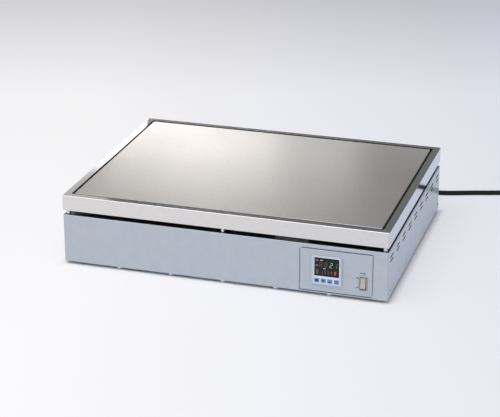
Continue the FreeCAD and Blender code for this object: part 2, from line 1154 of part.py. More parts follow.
def element_bars():
    """Steel bars under the element, one at each row of plate screws."""
    bars = []
    for x in bar_places:
        bar = block(
            x - bar_width / 2, x + bar_width / 2, -bar_reach, bar_reach, bar_bottom, bar_top
        )
        holes = [
            rod(m4_radius + hole_clear, FreeCAD.Vector(x, y, bar_bottom - 1), Z, 4)
            for place, y in plate_screw_places
            if place == x
        ]
        bars.append(cut_all(bar, holes))
    return group(bars)


def collars(places, radius, low, high):
    """Round tubes between two levels on the plate screws' lines."""
    made = []
    for x, y in places:
        start = FreeCAD.Vector(x, y, low)
        outer = rod(radius, start, Z, high - low)
        made.append(outer.cut(rod(m4_radius + hole_clear, start, Z, high - low)))
    return group(made)


def plate_screws():
    """Long screws from below the tray up into the plate."""
    length = plate_bottom + plate_screw_depth - plate_screw_gap - tray_bottom
    return group(
        [
            pan_screw(
                m4_radius,
                m4_head_radius,
                m4_head_height,
                FreeCAD.Vector(x, y, tray_bottom),
                Z,
                length,
            )
            for x, y in plate_screw_places
        ]
    )


def service_cut(x, y, low, high, extra=0.0):
    """A rounded hole for the leads that drop through the rail."""
    half_length = service_hole_length / 2 + extra
    half = service_hole_width / 2 + extra
    return upright_block(
        x - half_length, x + half_length, y - half, y + half, low, high, half * 0.9
    )


def duct_cut(low, high, grow=0.0):
    """The duct's clear opening."""
    y0 = front + rail_setback
    return block(
        duct_left + duct_wall - grow,
        duct_left + duct_width - duct_wall + grow,
        y0 + duct_wall - grow,
        y0 + duct_depth - duct_wall + grow,
        low,
        high,
    )


def lead_holes(low, high):
    """Holes for the sensor and the thermostat's leads."""
    return [
        service_cut(0, sensor_y, low, high),
        service_cut(0, thermostat_y, low, high),
    ]


def heat_shield_tray():
    """Shallow tray on the frame's lower lip that closes the upper unit from below."""
    edge = frame_sheet + fit
    x1 = half_width - edge
    y1 = half_depth - edge
    outer = block(-x1, x1, -y1, y1, tray_bottom, tray_bottom + tray_rim)
    inner = block(
        -x1 + tray_sheet,
        x1 - tray_sheet,
        -y1 + tray_sheet,
        y1 - tray_sheet,
        tray_floor,
        tray_bottom + tray_rim + 1,
    )
    holes = [
        rod(m4_radius + hole_clear, FreeCAD.Vector(x, y, tray_bottom - 1), Z, 4)
        for x, y in plate_screw_places
    ]
    holes += spacer_holes(m4_radius + hole_clear)
    holes += lead_holes(tray_bottom - 1, tray_floor + 1)
    holes.append(duct_cut(tray_bottom - 1, tray_floor + 1))
    return cut_all(outer, [inner] + holes)


def insulation_board():
    """Fibre board on the tray, pierced for the standoffs and leads."""
    x1 = element_end + insulation_side_rim
    y1 = bar_reach + insulation_end_rim
    board = block(-x1, x1, -y1, y1, tray_floor, tray_floor + insulation_thickness)
    holes = [
        rod(
            standoff_radius + fit,
            FreeCAD.Vector(x, y, tray_floor - 1),
            Z,
            insulation_thickness + 2,
        )
        for x, y in plate_screw_places
    ]
    top = tray_floor + insulation_thickness + 1
    return cut_all(board, holes + lead_holes(tray_floor - 1, top))


def inner_cover():
    """Sheet under the case's upper lip that closes the control space from above."""
    edge = case_sheet + sheet_fit
    x1 = half_width - edge
    y1 = half_depth - edge
    sheet = block(-x1, x1, -y1, y1, cover_bottom, cover_top)
    holes = spacer_holes(m4_radius + hole_clear)
    holes += lead_holes(cover_bottom - 1, cover_top + 1)
    holes.append(duct_cut(cover_bottom - 1, cover_top + 1))
    return cut_all(sheet, holes)


def spacers():
    """Bright round spacers that hold the frame clear of the case."""
    made = []
    for x, y in spacer_places:
        start = FreeCAD.Vector(x, y, case_top)
        outer = rod(spacer_radius, start, Z, air_gap)
        made.append(outer.cut(rod(m4_radius + hole_clear, start, Z, air_gap)))
    return group(made)


def spacer_screws():
    """Screws from inside the case up through the spacers to the tray."""
    length = tray_floor - cover_bottom + m4_nut_height + spacer_screw_end
    return group(
        [
            pan_screw(
                m4_radius,
                m4_head_radius,
                m4_head_height,
                FreeCAD.Vector(x, y, cover_bottom),
                Z,
                length,
            )
            for x, y in spacer_places
        ]
    )


def spacer_nuts():
    """Nuts in the tray on the spacer screws."""
    bore = m4_radius + thread_clear
    return group(
        [
            nut(m4_nut_flats, bore, FreeCAD.Vector(x, y, tray_floor), Z, m4_nut_height)
            for x, y in spacer_places
        ]
    )


def support_rail():
    """Hat-section rail under the tray's middle that also carries the sensor leads down."""
    low = cover_top
    high = tray_bottom
    half_foot = rail_foot_width / 2
    half_top = rail_top_width / 2
    t = rail_sheet
    outline = [
        (-half_foot, low),
        (-half_foot, low + t),
        (-half_top, low + t),
        (-half_top, high),
        (half_top, high),
        (half_top, low + t),
        (half_foot, low + t),
        (half_foot, low),
        (half_top - t, low),
        (half_top - t, high - t),
        (-half_top + t, high - t),
        (-half_top + t, low),
        (-half_foot, low),
    ]
    y0 = front + rail_setback
    points = [FreeCAD.Vector(x, y0, z) for x, z in outline]
    rail = Part.Face(Part.makePolygon(points)).extrude(Y * (body_depth - 2 * rail_setback))
    return cut_all(rail, lead_holes(high - 2 * t, high + 1))


def wire_duct():
    """Open sleeve that guards the heater leads across the air gap."""
    y0 = front + rail_setback
    outer = block(
        duct_left, duct_left + duct_width, y0, y0 + duct_depth, cover_top, tray_bottom
    )
    return outer.cut(duct_cut(cover_top - 1, tray_bottom + 1))


# Sensing parts
def plate_sensor():
    """Sheathed temperature probe screwed into the plate from below."""
    tip = plate_bottom + sensor_depth
    probe = rod(
        sensor_radius, FreeCAD.Vector(sensor_x, sensor_y, lead_end), Z, tip - lead_end
    )
    base = FreeCAD.Vector(sensor_x, sensor_y, plate_bottom - sensor_hex_height)
    return probe.fuse(hexagon(sensor_hex, base, Z, sensor_hex_height))


def overheat_cutout():
    """Disc cut-out against the plate's underside, with a flange and two leads."""
    top = FreeCAD.Vector(thermostat_x, thermostat_y, plate_bottom)
    down = Z * -1
    body = rod(thermostat_radius, top, down, thermostat_height)
    flange = rod(thermostat_flange_radius, top, down, thermostat_flange)
    body = body.fuse(flange)
    for side in (-1, 1):
        start = top + down * thermostat_height + Y * (side * thermostat_lead_gap)
        body = body.fuse(
            rod(thermostat_lead_radius, start, down, start.z - lead_end)
        )
    return body


# Parts inside the case
def heat_sink():
    """Extruded heat sink, fins down, that carries the relay."""
    x0 = relay_x - sink_width / 2
    y0 = relay_y - sink_length / 2
    top = base_top + sink_fin_height + sink_base
    sink = block(
        x0, x0 + sink_width, y0, y0 + sink_length, top - sink_base, top
    )
    pitch = (sink_width - sink_fin_thickness) / (sink_fin_count - 1)
    for index in range(sink_fin_count):
        x = x0 + index * pitch
        fin = block(
            x, x + sink_fin_thickness, y0, y0 + sink_length, base_top, top - sink_base
        )
        sink = sink.fuse(fin)
    return sink.removeSplitter()


def solid_state_relay():
    """Solid state relay on the heat sink, with four terminal posts and a finger guard step."""
    low = base_top + sink_fin_height + sink_base
    body = upright_block(
        relay_x - relay_width / 2,
        relay_x + relay_width / 2,
        relay_y - relay_length / 2,
        relay_y + relay_length / 2,
        low,
        low + relay_height,
        relay_corner,
    )
    steps = [
        block(
            relay_x - relay_width,
            relay_x + relay_width,
            relay_y + side * relay_length / 2 - relay_step,
            relay_y + side * relay_length / 2 + relay_step,
            low + relay_height - relay_step_drop,
            low + relay_height + 1,
        )
        for side in (-1, 1)
    ]
    body = cut_all(body, steps)
    for side in (-1, 1):
        for end in (-1, 1):
            post = FreeCAD.Vector(
                relay_x + side * relay_width / 4,
                relay_y + end * (relay_length / 2 - relay_post_inset),
                low + relay_height - relay_step_drop,
            )
            body = body.fuse(rod(relay_post_radius, post, Z, relay_post_height))
    return body


block_length = block_poles * block_pole_pitch + 2 * block_end_wall
block_wire_z = base_top + block_height / 2


def pole_places():
    """The terminal block's poles along X."""
    return [
        block_x + (index - (block_poles - 1) / 2) * block_pole_pitch
        for index in range(block_poles)
    ]


def terminal_block():
    """Barrier block where the cord's cores meet the inner wiring."""
    y0 = block_y - block_depth / 2
    y1 = block_y + block_depth / 2
    x0 = block_x - block_length / 2
    body = block(x0, x0 + block_length, y0, y1, base_top, base_top + block_height)
    for index in range(block_poles + 1):
        x = block_x + (index - block_poles / 2) * block_pole_pitch
        wall = block(
            x - block_barrier / 2,
            x + block_barrier / 2,
            y0,
            y1,
            base_top + block_height,
            base_top + block_height + block_barrier_rise,
        )
        body = body.fuse(wall)
    return body.removeSplitter()


def terminal_screws():
    """Screws on the terminal block, two to a pole."""
    made = []
    for x in pole_places():
        for side in (-1, 1):
            start = FreeCAD.Vector(
                x, block_y + side * block_depth / 4, base_top + block_height
            )
            made.append(rod(block_screw_radius, start, Z, block_screw_rise))
    return group(made)


def earth_terminal():
    """Earth screw with its nut, standing on the base beside the terminal block."""
    base = FreeCAD.Vector(earth_x, earth_y, base_top)
    shank = rod(m4_radius, base, Z, earth_length)
    return shank.fuse(hexagon(m4_nut_flats, base, Z, m4_nut_height))


def bundle(name, routes, radius, bend):
    """Several wires of one node, each checked against its section times its length."""
    made = []
    for points in routes:
        solid, radii, length, ratio = tube(points, radius, bend=bend)
        print(f"{name}: wire of {length:.0f} mm, volume ratio {ratio:.4f}")
        made.append(solid)
    return group(made)


gland_z = case_bottom + gland_rise
gland_inner = rear - case_sheet - gland_nut_height


def mains_wires():
    """The cord's three cores from the gland to the terminal block."""
    y_block = block_y + block_depth / 2
    lanes = pole_places()[:3]
    routes = []
    for index, x in enumerate(lanes):
        x_start = gland_x + (index - 1) * core_pitch
        y_turn = gland_inner - core_turn + index * core_turn_pitch
        routes.append(
            [
                (x_start, gland_inner, gland_z),
                (x_start, y_turn, gland_z),
                (x, y_turn, block_wire_z),
                (x, y_block, block_wire_z),
            ]
        )
    return bundle("mains_wires", routes, wire_radius, wire_bend)


def switch_wires():
    """Wires from the terminal block to the back of the power switch."""
    y_block = block_y - block_depth / 2
    tab_end = front + switch_body_length + tab_length
    lanes = pole_places()[2:]
    routes = []
    for index, x in enumerate(lanes):
        side = 1 - 2 * index
        z = switch_z + side * switch_body_height / 4
        x_lane = switch_x + (index - 0.5) * switch_lane_pitch
        y_lane = y_block - switch_turn - (1 - index) * switch_turn_pitch
        routes.append(
            [
                (x, y_block, block_wire_z),
                (x, y_lane, block_wire_z),
                (x_lane, y_lane - switch_slant, block_wire_z),
                (x_lane, tab_end + switch_climb, block_wire_z),
                (switch_x, tab_end + switch_approach, z),
                (switch_x, tab_end, z),
            ]
        )
    return bundle("switch_wires", routes, wire_radius, wire_bend)


def relay_wires():
    """Wires from the terminal block to the relay's load side."""
    y_block = block_y - block_depth / 2
    low = base_top + sink_fin_height + sink_base
    post_z = low + relay_height - relay_step_drop + relay_post_height
    y_post = relay_y + relay_length / 2 - relay_post_inset
    routes = []
    for index, x in enumerate(pole_places()[:2]):
        x_post = relay_x + (2 * index - 1) * relay_width / 4
        y_lane = y_block - relay_turn - index * relay_turn_pitch
        routes.append(
            [
                (x, y_block, block_wire_z),
                (x, y_lane, block_wire_z),
                (x_post, y_lane, block_wire_z),
                (x_post, y_post + relay_climb, block_wire_z),
                (x_post, y_post + relay_climb, post_z + relay_arch),
                (x_post, y_post, post_z + relay_arch),
                (x_post, y_post, post_z),
            ]
        )
    return bundle("relay_wires", routes, wire_radius, wire_bend)


def heater_leads():
    """Sleeved leads from the element's pins through the duct to the relay."""
    pin_end = element_end + element_pin_length
    first = -element_first_row
    tray_run = tray_floor + heater_wire_radius + heater_floor_gap
    low = base_top + sink_fin_height + sink_base
    post_z = low + relay_height - relay_step_drop + relay_post_height
    y_post = relay_y - relay_length / 2 + relay_post_inset
    duct_front = front + rail_setback + duct_wall
    lanes = (
        (
            first,
            pin_end + heater_front_side,
            duct_front + heater_front_lane,
            duct_left + heater_front_drop,
            1,
        ),
        (
            -first,
            pin_end + heater_rear_side,
            duct_front + heater_rear_lane,
            duct_left + heater_rear_drop,
            -1,
        ),
    )
    routes = []
    for y_pin, x_side, y_front, x_duct, side in lanes:
        x_post = relay_x + side * relay_width / 4
        routes.append(
            [
                (pin_end, y_pin, element_z),
                (x_side, y_pin, element_z),
                (x_side, y_pin, tray_run),
                (x_side, y_front, tray_run),
                (x_duct, y_front, tray_run),
                (x_duct, y_front, post_z + heater_arch),
                (x_post, y_post - heater_approach, post_z + heater_arch),
                (x_post, y_post, post_z + heater_arch),
                (x_post, y_post, post_z),
            ]
        )
    return bundle("heater_leads", routes, heater_wire_radius, wire_bend)


def signal_wires():
    """Wires from the sensor and the cut-out to the back of the controller."""
    back = front + controller_length
    level = lead_end - signal_drop
    starts = [
        (thermostat_x, thermostat_y - thermostat_lead_gap),
        (thermostat_x, thermostat_y + thermostat_lead_gap),
        (sensor_x, sensor_y),
    ]
    routes = []
    for index, (x, y) in enumerate(starts):
        x_back = controller_x + (index - 1) * signal_pitch
        y_back = back + signal_turn + index * signal_turn_pitch
        routes.append(
            [
                (x, y, lead_end),
                (x, y, level),
                (x_back, y_back, level),
                (x_back, y_back - signal_slant, controller_z),
                (x_back, back, controller_z),
            ]
        )
    return bundle("signal_wires", routes, signal_wire_radius, wire_bend)


# Power cord
def gland():
    """Cord bushing through the back, with its lock nut and a tapered bend relief."""
    wall = rear
    centre = FreeCAD.Vector(gland_x, wall, gland_z)
    flange = rod(gland_flange_radius, centre, Y, gland_flange)
    neck = rod(gland_hole_radius - slide_fit, centre - Y * case_sheet, Y, case_sheet)
    lock = hexagon(
        gland_nut_flats, centre - Y * (case_sheet + gland_nut_height), Y, gland_nut_height
    )
    tail = Part.makeCone(
        gland_tail_radius + gland_tail_taper,
        gland_tail_radius - gland_tail_taper,
        gland_tail_length,
        centre + Y * gland_flange,
        Y,
    )
    return flange.fuse([neck, lock, tail]).removeSplitter()


cord_z = cord_radius + cord_floor_gap
exit_y = rear + gland_flange + gland_tail_length
coil_column_pitch = 2 * cord_radius
coil_outer_run = coil_mid_radius + (coil_columns - 1) / 2 * coil_column_pitch

# The cord's way over the bench, chosen by hand: out of the gland, down to the bench,
# behind the case and out to the coil on its right
cord_route = [
    (gland_x, exit_y, gland_z),
    (gland_x, exit_y + exit_run, gland_z),
    (79.0, 292.0, 15.0),
    (100.5, 318.0, 8.0),
    (131.0, 329.5, cord_z),
    (163.0, 324.0, cord_z),
    (188.5, 306.0, cord_z),
    (210.5, 285.0, cord_z),
    (237.5, 272.5, cord_z),
    (268.5, 277.5, cord_z),
    (307.5, 292.0, cord_z),
    (347.5, 303.5, cord_z),
    (389.5, 320.0, cord_z),
    (431.5, 332.8, cord_z),
]


def power_cord():
    """Jacketed cord from the gland to the coil."""
    solid, radii, length, ratio = tube(cord_route, cord_radius, share=0.45)
    print("power_cord radii:", [round(radius) for radius in radii])
    print(f"power_cord: {length:.0f} mm, volume ratio {ratio:.4f}")
    return solid


def cord_coil():
    """Outer shape of the neat round coil of the cord's put-away length."""
    outer = coil_outer_run + cord_radius
    inner = coil_mid_radius - (coil_columns - 1) / 2 * coil_column_pitch - cord_radius
    high = cord_floor_gap + coil_layers * 2 * cord_radius
    base = FreeCAD.Vector(coil_x, coil_y, cord_floor_gap)
    ring = rod(outer, base, Z, high - cord_floor_gap)
    ring = ring.cut(rod(inner, base, Z, high - cord_floor_gap))
    rims = [edge for edge in ring.Edges if edge.Curve.TypeId == "Part::GeomCircle"]
    return ring.makeFillet(0.6 * cord_radius, rims)


plug_x = coil_x + coil_outer_run
plug_y = coil_y + plug_setback


def plug_body():
    """Moulded plug lying beside the coil, with its tapered sleeve."""
    z = plug_body_height / 2
    start = FreeCAD.Vector(plug_x, plug_y, z)
    sleeve = Part.makeCone(plug_neck_radius, plug_sleeve_radius, plug_sleeve_length, start, Y)
    y0 = plug_y + plug_sleeve_length
    body = block(
        plug_x - plug_body_width / 2,
        plug_x + plug_body_width / 2,
        y0,
        y0 + plug_body_length,
        0,
        plug_body_height,
    )
    body = body.makeFillet(plug_corner, edges_along(body, Y))
    return sleeve.fuse(body)


def plug_pins():
    """Two flat blades and a round earth pin."""
    y0 = plug_y + plug_sleeve_length + plug_body_length
    z = plug_body_height / 2 + blade_rise
    pins = []
    for side in (-1, 1):
        x = plug_x + side * blade_spacing / 2
        pins.append(
            block(
                x - blade_thickness / 2,
                x + blade_thickness / 2,
                y0,
                y0 + blade_length,
                z - blade_width / 2,
                z + blade_width / 2,
            )
        )
    start = FreeCAD.Vector(plug_x, y0, z - earth_pin_drop)
    pins.append(rod(earth_pin_radius, start, Y, earth_pin_length))
    return group(pins)


nodes = {
    "case_shell": case_shell(),
    "control_panel": control_panel(),
    "panel_backing": panel_backing(),
    "panel_nuts": panel_nuts(),
    "base_plate": base_plate(),
    "base_screws": base_screws(),
    "side_screws": side_screws(),
    "feet": feet(),
    "foot_screws": foot_screws(),
    "foot_nuts": foot_nuts(),
    "controller_housing": controller_housing(),
    "controller_window": controller_window(),
    "display_module": display_module(),
    "controller_board": controller_board(),
    "key_mat": key_mat(),
    "controller_clamp": controller_clamp(),
    "switch_body": switch_body(),
    "switch_tabs": switch_tabs(),
    "switch_rocker": switch_rocker(),
    "top_frame": top_frame(),
    "heating_plate": heating_plate(),
    "heating_element": heating_element(),
    "element_bars": element_bars(),
    "lower_standoffs": collars(plate_screw_places, standoff_radius, tray_floor, bar_bottom),
    "upper_sleeves": collars(plate_screw_places, sleeve_radius, bar_top, plate_bottom),
    "plate_screws": plate_screws(),
    "heat_shield_tray": heat_shield_tray(),
    "insulation_board": insulation_board(),
    "inner_cover": inner_cover(),
    "spacers": spacers(),
    "spacer_screws": spacer_screws(),
    "spacer_nuts": spacer_nuts(),
    "support_rail": support_rail(),
    "wire_duct": wire_duct(),
    "plate_sensor": plate_sensor(),
    "overheat_cutout": overheat_cutout(),
    "heat_sink": heat_sink(),
    "solid_state_relay": solid_state_relay(),
    "terminal_block": terminal_block(),
    "terminal_screws": terminal_screws(),
    "earth_terminal": earth_terminal(),
    "mains_wires": mains_wires(),
    "switch_wires": switch_wires(),
    "relay_wires": relay_wires(),
    "heater_leads": heater_leads(),
    "signal_wires": signal_wires(),
    "cord_gland": gland(),
    "power_cord": power_cord(),
    "cord_coil": cord_coil(),
    "plug_body": plug_body(),
    "plug_pins": plug_pins(),
}
key_names = ("set_key", "shift_key", "down_key", "up_key")
for name, place in zip(key_names, key_places):
    nodes[name] = key(place)

os.makedirs("parts", exist_ok=True)
for name, shape in nodes.items():
    if not shape.isValid():
        print("not valid:", name)
    for solid in shape.Solids:
        if not solid.isClosed():
            print("not closed:", name)
    shape.exportStep(f"parts/{name}.step")
print(len(nodes), "nodes,", sum(len(shape.Solids) for shape in nodes.values()), "solids")
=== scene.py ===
import math

import bmesh
import bpy
from mathutils import Matrix, Vector


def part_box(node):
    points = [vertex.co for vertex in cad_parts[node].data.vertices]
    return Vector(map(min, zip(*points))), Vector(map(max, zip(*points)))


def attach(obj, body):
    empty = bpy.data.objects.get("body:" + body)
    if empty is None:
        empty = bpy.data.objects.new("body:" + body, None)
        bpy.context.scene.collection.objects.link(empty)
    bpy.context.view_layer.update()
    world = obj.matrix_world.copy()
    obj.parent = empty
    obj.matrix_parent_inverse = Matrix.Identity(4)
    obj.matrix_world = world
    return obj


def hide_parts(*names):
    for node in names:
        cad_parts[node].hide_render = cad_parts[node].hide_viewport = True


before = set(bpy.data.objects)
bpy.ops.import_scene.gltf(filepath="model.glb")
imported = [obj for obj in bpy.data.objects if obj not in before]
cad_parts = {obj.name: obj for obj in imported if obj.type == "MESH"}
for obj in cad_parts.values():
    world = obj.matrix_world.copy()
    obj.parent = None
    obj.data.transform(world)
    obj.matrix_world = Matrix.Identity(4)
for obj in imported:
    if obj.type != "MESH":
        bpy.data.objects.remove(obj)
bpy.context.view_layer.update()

# Laboratory hot plate. Metres, the part's own frame: the bench is z = 0, the controls face -Y.
# Grain scales are in cells per metre.


# Case shell and control panel: sheet steel folded with small bends and stove enamelled in a
# pale blue-grey. The panel is a plate of the same sheet let into the front, held from behind
# by weld studs. Painted shade: black is laid on the inner walls, on the top rim in the air gap,
# round the slots and along the panel's seam, where shade falls.
ENAMEL_BLUE_GREY = (0.480, 0.525, 0.590)
ENAMEL_SHADE = (0.450, 0.496, 0.560)
ENAMEL_ROUGHNESS = 0.34
ENAMEL_ROUGHNESS_RANGE = (0.31, 0.38)
ENAMEL_COAT = 0.5
ENAMEL_COAT_ROUGHNESS = 0.08
ENAMEL_CLOUD_SCALE = 60
ENAMEL_PEEL_SCALE = 900
ENAMEL_PEEL_DEPTH = 0.00004
PAINTED_SHADE_BLACK = (0.016, 0.016, 0.018)
RIM_START_Z = 0.0846
RIM_FOLD = 0.0012
PAINT_DEPTH = 0.0002
CORNER_CLEAR = 0.007
CASE_MIDDLE_Z = 0.0447
WALL_HALF_HEIGHT = 0.0365
SLOT_PITCH = 0.044
SLOT_ROWS_Z = (0.0727, 0.0654)
SLOT_EDGE_HALF_LENGTH = 0.0104
SLOT_EDGE_HALF_WIDTH = 0.0018
SEAM_HALF_WIDTH = 0.0005
CASE_LOW, CASE_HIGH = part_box("case_shell")
PANEL_LOW, PANEL_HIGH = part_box("control_panel")
PANEL_MIDDLE = (PANEL_LOW + PANEL_HIGH) / 2
PANEL_HALF = (PANEL_HIGH - PANEL_LOW) / 2


def new_finish(name, colour, metallic, roughness):
    """A material, its node tree, its shader and the part's own coordinates."""
    finish = bpy.data.materials.new(name)
    finish.use_nodes = True
    tree = finish.node_tree
    shader = tree.nodes["Principled BSDF"]
    shader.inputs["Base Color"].default_value = (*colour, 1)
    shader.inputs["Metallic"].default_value = metallic
    shader.inputs["Roughness"].default_value = roughness
    place = tree.nodes.new("ShaderNodeTexCoord").outputs["Object"]
    return finish, tree, shader, place


def spread(tree, place):
    """The x, y and z of a place, each as a number."""
    axes = tree.nodes.new("ShaderNodeSeparateXYZ")
    tree.links.new(place, axes.inputs["Vector"])
    return axes.outputs["X"], axes.outputs["Y"], axes.outputs["Z"]


def grain(tree, place, scale, detail=3.0, stretch=(1, 1, 1)):
    """Noise at a real scale, in cells per metre, that can be drawn out along an axis."""
    mapping = tree.nodes.new("ShaderNodeMapping")
    mapping.inputs["Scale"].default_value = stretch
    tree.links.new(place, mapping.inputs["Vector"])
    noise = tree.nodes.new("ShaderNodeTexNoise")
    noise.inputs["Scale"].default_value = scale
    noise.inputs["Detail"].default_value = detail
    tree.links.new(mapping.outputs["Vector"], noise.inputs["Vector"])
    return noise.outputs["Fac"]


def between(tree, amount, low, high, start=0.3, end=0.7):
    """A number that runs from low to high as the amount runs from start to end."""
    step = tree.nodes.new("ShaderNodeMapRange")
    step.inputs["From Min"].default_value = start
    step.inputs["From Max"].default_value = end
    step.inputs["To Min"].default_value = low
    step.inputs["To Max"].default_value = high
    tree.links.new(amount, step.inputs["Value"])
    return step.outputs["Result"]


def arithmetic(tree, operation, first, second=None):
    """One step of arithmetic on a node's number."""
    step = tree.nodes.new("ShaderNodeMath")
    step.operation = operation
    for socket, value in zip(step.inputs, (first, second)):
        if isinstance(value, (int, float)):
            socket.default_value = value
        elif value is not None:
            tree.links.new(value, socket)
    return step.outputs["Value"]


def off(tree, value, middle):
    """How far a coordinate is from a middle."""
    return arithmetic(tree, "ABSOLUTE", arithmetic(tree, "SUBTRACT", value, middle))


def within(tree, value, middle, half):
    """1 where a coordinate is nearer to a middle than a half width."""
    return arithmetic(tree, "LESS_THAN", off(tree, value, middle), half)


def inside_edge(tree, value, edge):
    """How far a coordinate is inside a pair of edges, one on each side of the middle."""
    return arithmetic(tree, "SUBTRACT", edge, arithmetic(tree, "ABSOLUTE", value))


def mixed(tree, amount, first, second):
    """A colour between two, each a fixed colour or a node's."""
    mix = tree.nodes.new("ShaderNodeMix")
    mix.data_type = "RGBA"
    for socket, colour in (("A", first), ("B", second)):
        if isinstance(colour, tuple):
            mix.inputs[socket].default_value = (*colour, 1)
        else:
            tree.links.new(colour, mix.inputs[socket])
    tree.links.new(amount, mix.inputs["Factor"])
    return mix.outputs["Result"]


def two_tone(tree, shader, amount, dark, light):
    """Base colour between two shades."""
    tree.links.new(mixed(tree, amount, dark, light), shader.inputs["Base Color"])


def lay_over(tree, shader, mask, colour):
    """Lays a colour over the base colour where a mask is 1."""
    under = shader.inputs["Base Color"].links[0].from_socket
    tree.links.new(mixed(tree, mask, under, colour), shader.inputs["Base Color"])


def roughen(tree, shader, amount, smooth, rough):
    """Roughness between two values."""
    tree.links.new(between(tree, amount, smooth, rough), shader.inputs["Roughness"])


def relief(tree, shader, height, depth):
    """Bump of a real depth."""
    bump = tree.nodes.new("ShaderNodeBump")
    bump.inputs["Distance"].default_value = depth
    tree.links.new(height, bump.inputs["Height"])
    tree.links.new(bump.outputs["Normal"], shader.inputs["Normal"])


def dress(finish, *nodes):
    """Gives CAD nodes their finish."""
    for name in nodes:
        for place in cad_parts[name].material_slots:
            place.material = finish


enamel, tree, shader, place = new_finish(
    "enamel_blue_grey", ENAMEL_BLUE_GREY, metallic=0.0, roughness=ENAMEL_ROUGHNESS
)
shader.inputs["Coat Weight"].default_value = ENAMEL_COAT
shader.inputs["Coat Roughness"].default_value = ENAMEL_COAT_ROUGHNESS
cloud = grain(tree, place, ENAMEL_CLOUD_SCALE, detail=5)
two_tone(tree, shader, between(tree, cloud, 0, 1), ENAMEL_SHADE, ENAMEL_BLUE_GREY)
peel = grain(tree, place, ENAMEL_PEEL_SCALE, detail=2)
relief(tree, shader, peel, ENAMEL_PEEL_DEPTH)
roughen(tree, shader, peel, *ENAMEL_ROUGHNESS_RANGE)

x, y, z = spread(tree, place)
from_side = inside_edge(tree, x, CASE_HIGH.x)
from_end = inside_edge(tree, y, CASE_HIGH.y)
nearest = arithmetic(tree, "MINIMUM", from_side, from_end)
behind_face = arithmetic(tree, "GREATER_THAN", nearest, PAINT_DEPTH)
clear_of_corner = arithmetic(
    tree, "GREATER_THAN", arithmetic(tree, "ADD", from_side, from_end), CORNER_CLEAR
)
on_back = arithmetic(
    tree,
    "MULTIPLY",
    arithmetic(tree, "MULTIPLY", behind_face, clear_of_corner),
    within(tree, z, CASE_MIDDLE_Z, WALL_HALF_HEIGHT),
)
on_lip = arithmetic(
    tree,
    "MULTIPLY",
    arithmetic(tree, "GREATER_THAN", nearest, RIM_FOLD),
    arithmetic(tree, "GREATER_THAN", z, RIM_START_Z),
)


def near_slot(along):
    """1 beside a slot, from the coordinate that runs along its wall."""
    step = arithmetic(tree, "SUBTRACT", along, CASE_LOW.y)
    in_pitch = arithmetic(tree, "MODULO", step, SLOT_PITCH)
    return within(tree, in_pitch, SLOT_PITCH / 2, SLOT_EDGE_HALF_LENGTH)


on_side_wall = arithmetic(tree, "LESS_THAN", from_side, PAINT_DEPTH)
on_back_wall = arithmetic(tree, "GREATER_THAN", y, CASE_HIGH.y - PAINT_DEPTH)
in_slot_column = arithmetic(
    tree,
    "MAXIMUM",
    arithmetic(tree, "MULTIPLY", on_side_wall, near_slot(y)),
    arithmetic(tree, "MULTIPLY", on_back_wall, near_slot(x)),
)
in_slot_row = arithmetic(
    tree, "MAXIMUM", *(within(tree, z, row, SLOT_EDGE_HALF_WIDTH) for row in SLOT_ROWS_Z)
)
on_slot_edge = arithmetic(tree, "MULTIPLY", in_slot_column, in_slot_row)

past_panel = arithmetic(
    tree,
    "MAXIMUM",
    arithmetic(tree, "SUBTRACT", off(tree, x, PANEL_MIDDLE.x), PANEL_HALF.x),
    arithmetic(tree, "SUBTRACT", off(tree, z, PANEL_MIDDLE.z), PANEL_HALF.z),
)
on_seam = arithmetic(
    tree,
    "MULTIPLY",
    within(tree, past_panel, 0.0, SEAM_HALF_WIDTH),
    arithmetic(tree, "LESS_THAN", y, CASE_LOW.y + PAINT_DEPTH),
)
# Painted shade: black over the enamel inside, on the rim, round the slots and in the seam.
painted_shade = on_back
for place_of_shade in (on_lip, on_slot_edge, on_seam):
    painted_shade = arithmetic(tree, "MAXIMUM", painted_shade, place_of_shade)
lay_over(tree, shader, painted_shade, PAINTED_SHADE_BLACK)
dress(enamel, "case_shell", "control_panel")


# Base plate, tray and the other plated sheets: zinc-plated steel, cut, punched and folded,
# with the faint spangle and dull patches of plating. Screwed together, hidden in use but
# seen from below and through the air gap.
ZINC_GREY = (0.62, 0.63, 0.64)
ZINC_DULLED = 0.82
ZINC_METALLIC = 0.9
ZINC_ROUGHNESS = 0.38
ZINC_ROUGHNESS_RANGE = (0.31, 0.48)
ZINC_SPANGLE_SCALE = 110
ZINC_CLOUD_SCALE = 60
ZINC_RELIEF_SCALE = 500
ZINC_RELIEF_DEPTH = 0.00003

zinc_sheet, tree, shader, place = new_finish("zinc_sheet", ZINC_GREY, ZINC_METALLIC, ZINC_ROUGHNESS)
spangle = tree.nodes.new("ShaderNodeTexVoronoi")
spangle.inputs["Scale"].default_value = ZINC_SPANGLE_SCALE
tree.links.new(place, spangle.inputs["Vector"])
dull = tuple(ZINC_DULLED * part for part in ZINC_GREY)
two_tone(
    tree, shader, between(tree, spangle.outputs["Color"], 0, 1, start=0.2, end=0.8), dull, ZINC_GREY
)
roughen(tree, shader, grain(tree, place, ZINC_CLOUD_SCALE), *ZINC_ROUGHNESS_RANGE)
relief(tree, shader, grain(tree, place, ZINC_RELIEF_SCALE), ZINC_RELIEF_DEPTH)
dress(
    zinc_sheet,
    "base_plate",
    "panel_backing",
    "heat_shield_tray",
    "support_rail",
    "wire_duct",
    "element_bars",
)


# Inner cover: steel sheet given a matt black as painted shade, so that the air gap under the
# frame looks black.
GAP_SHADE_BLACK = (0.014, 0.014, 0.015)
GAP_SHADE_GRAIN = (0.026, 0.025, 0.024)


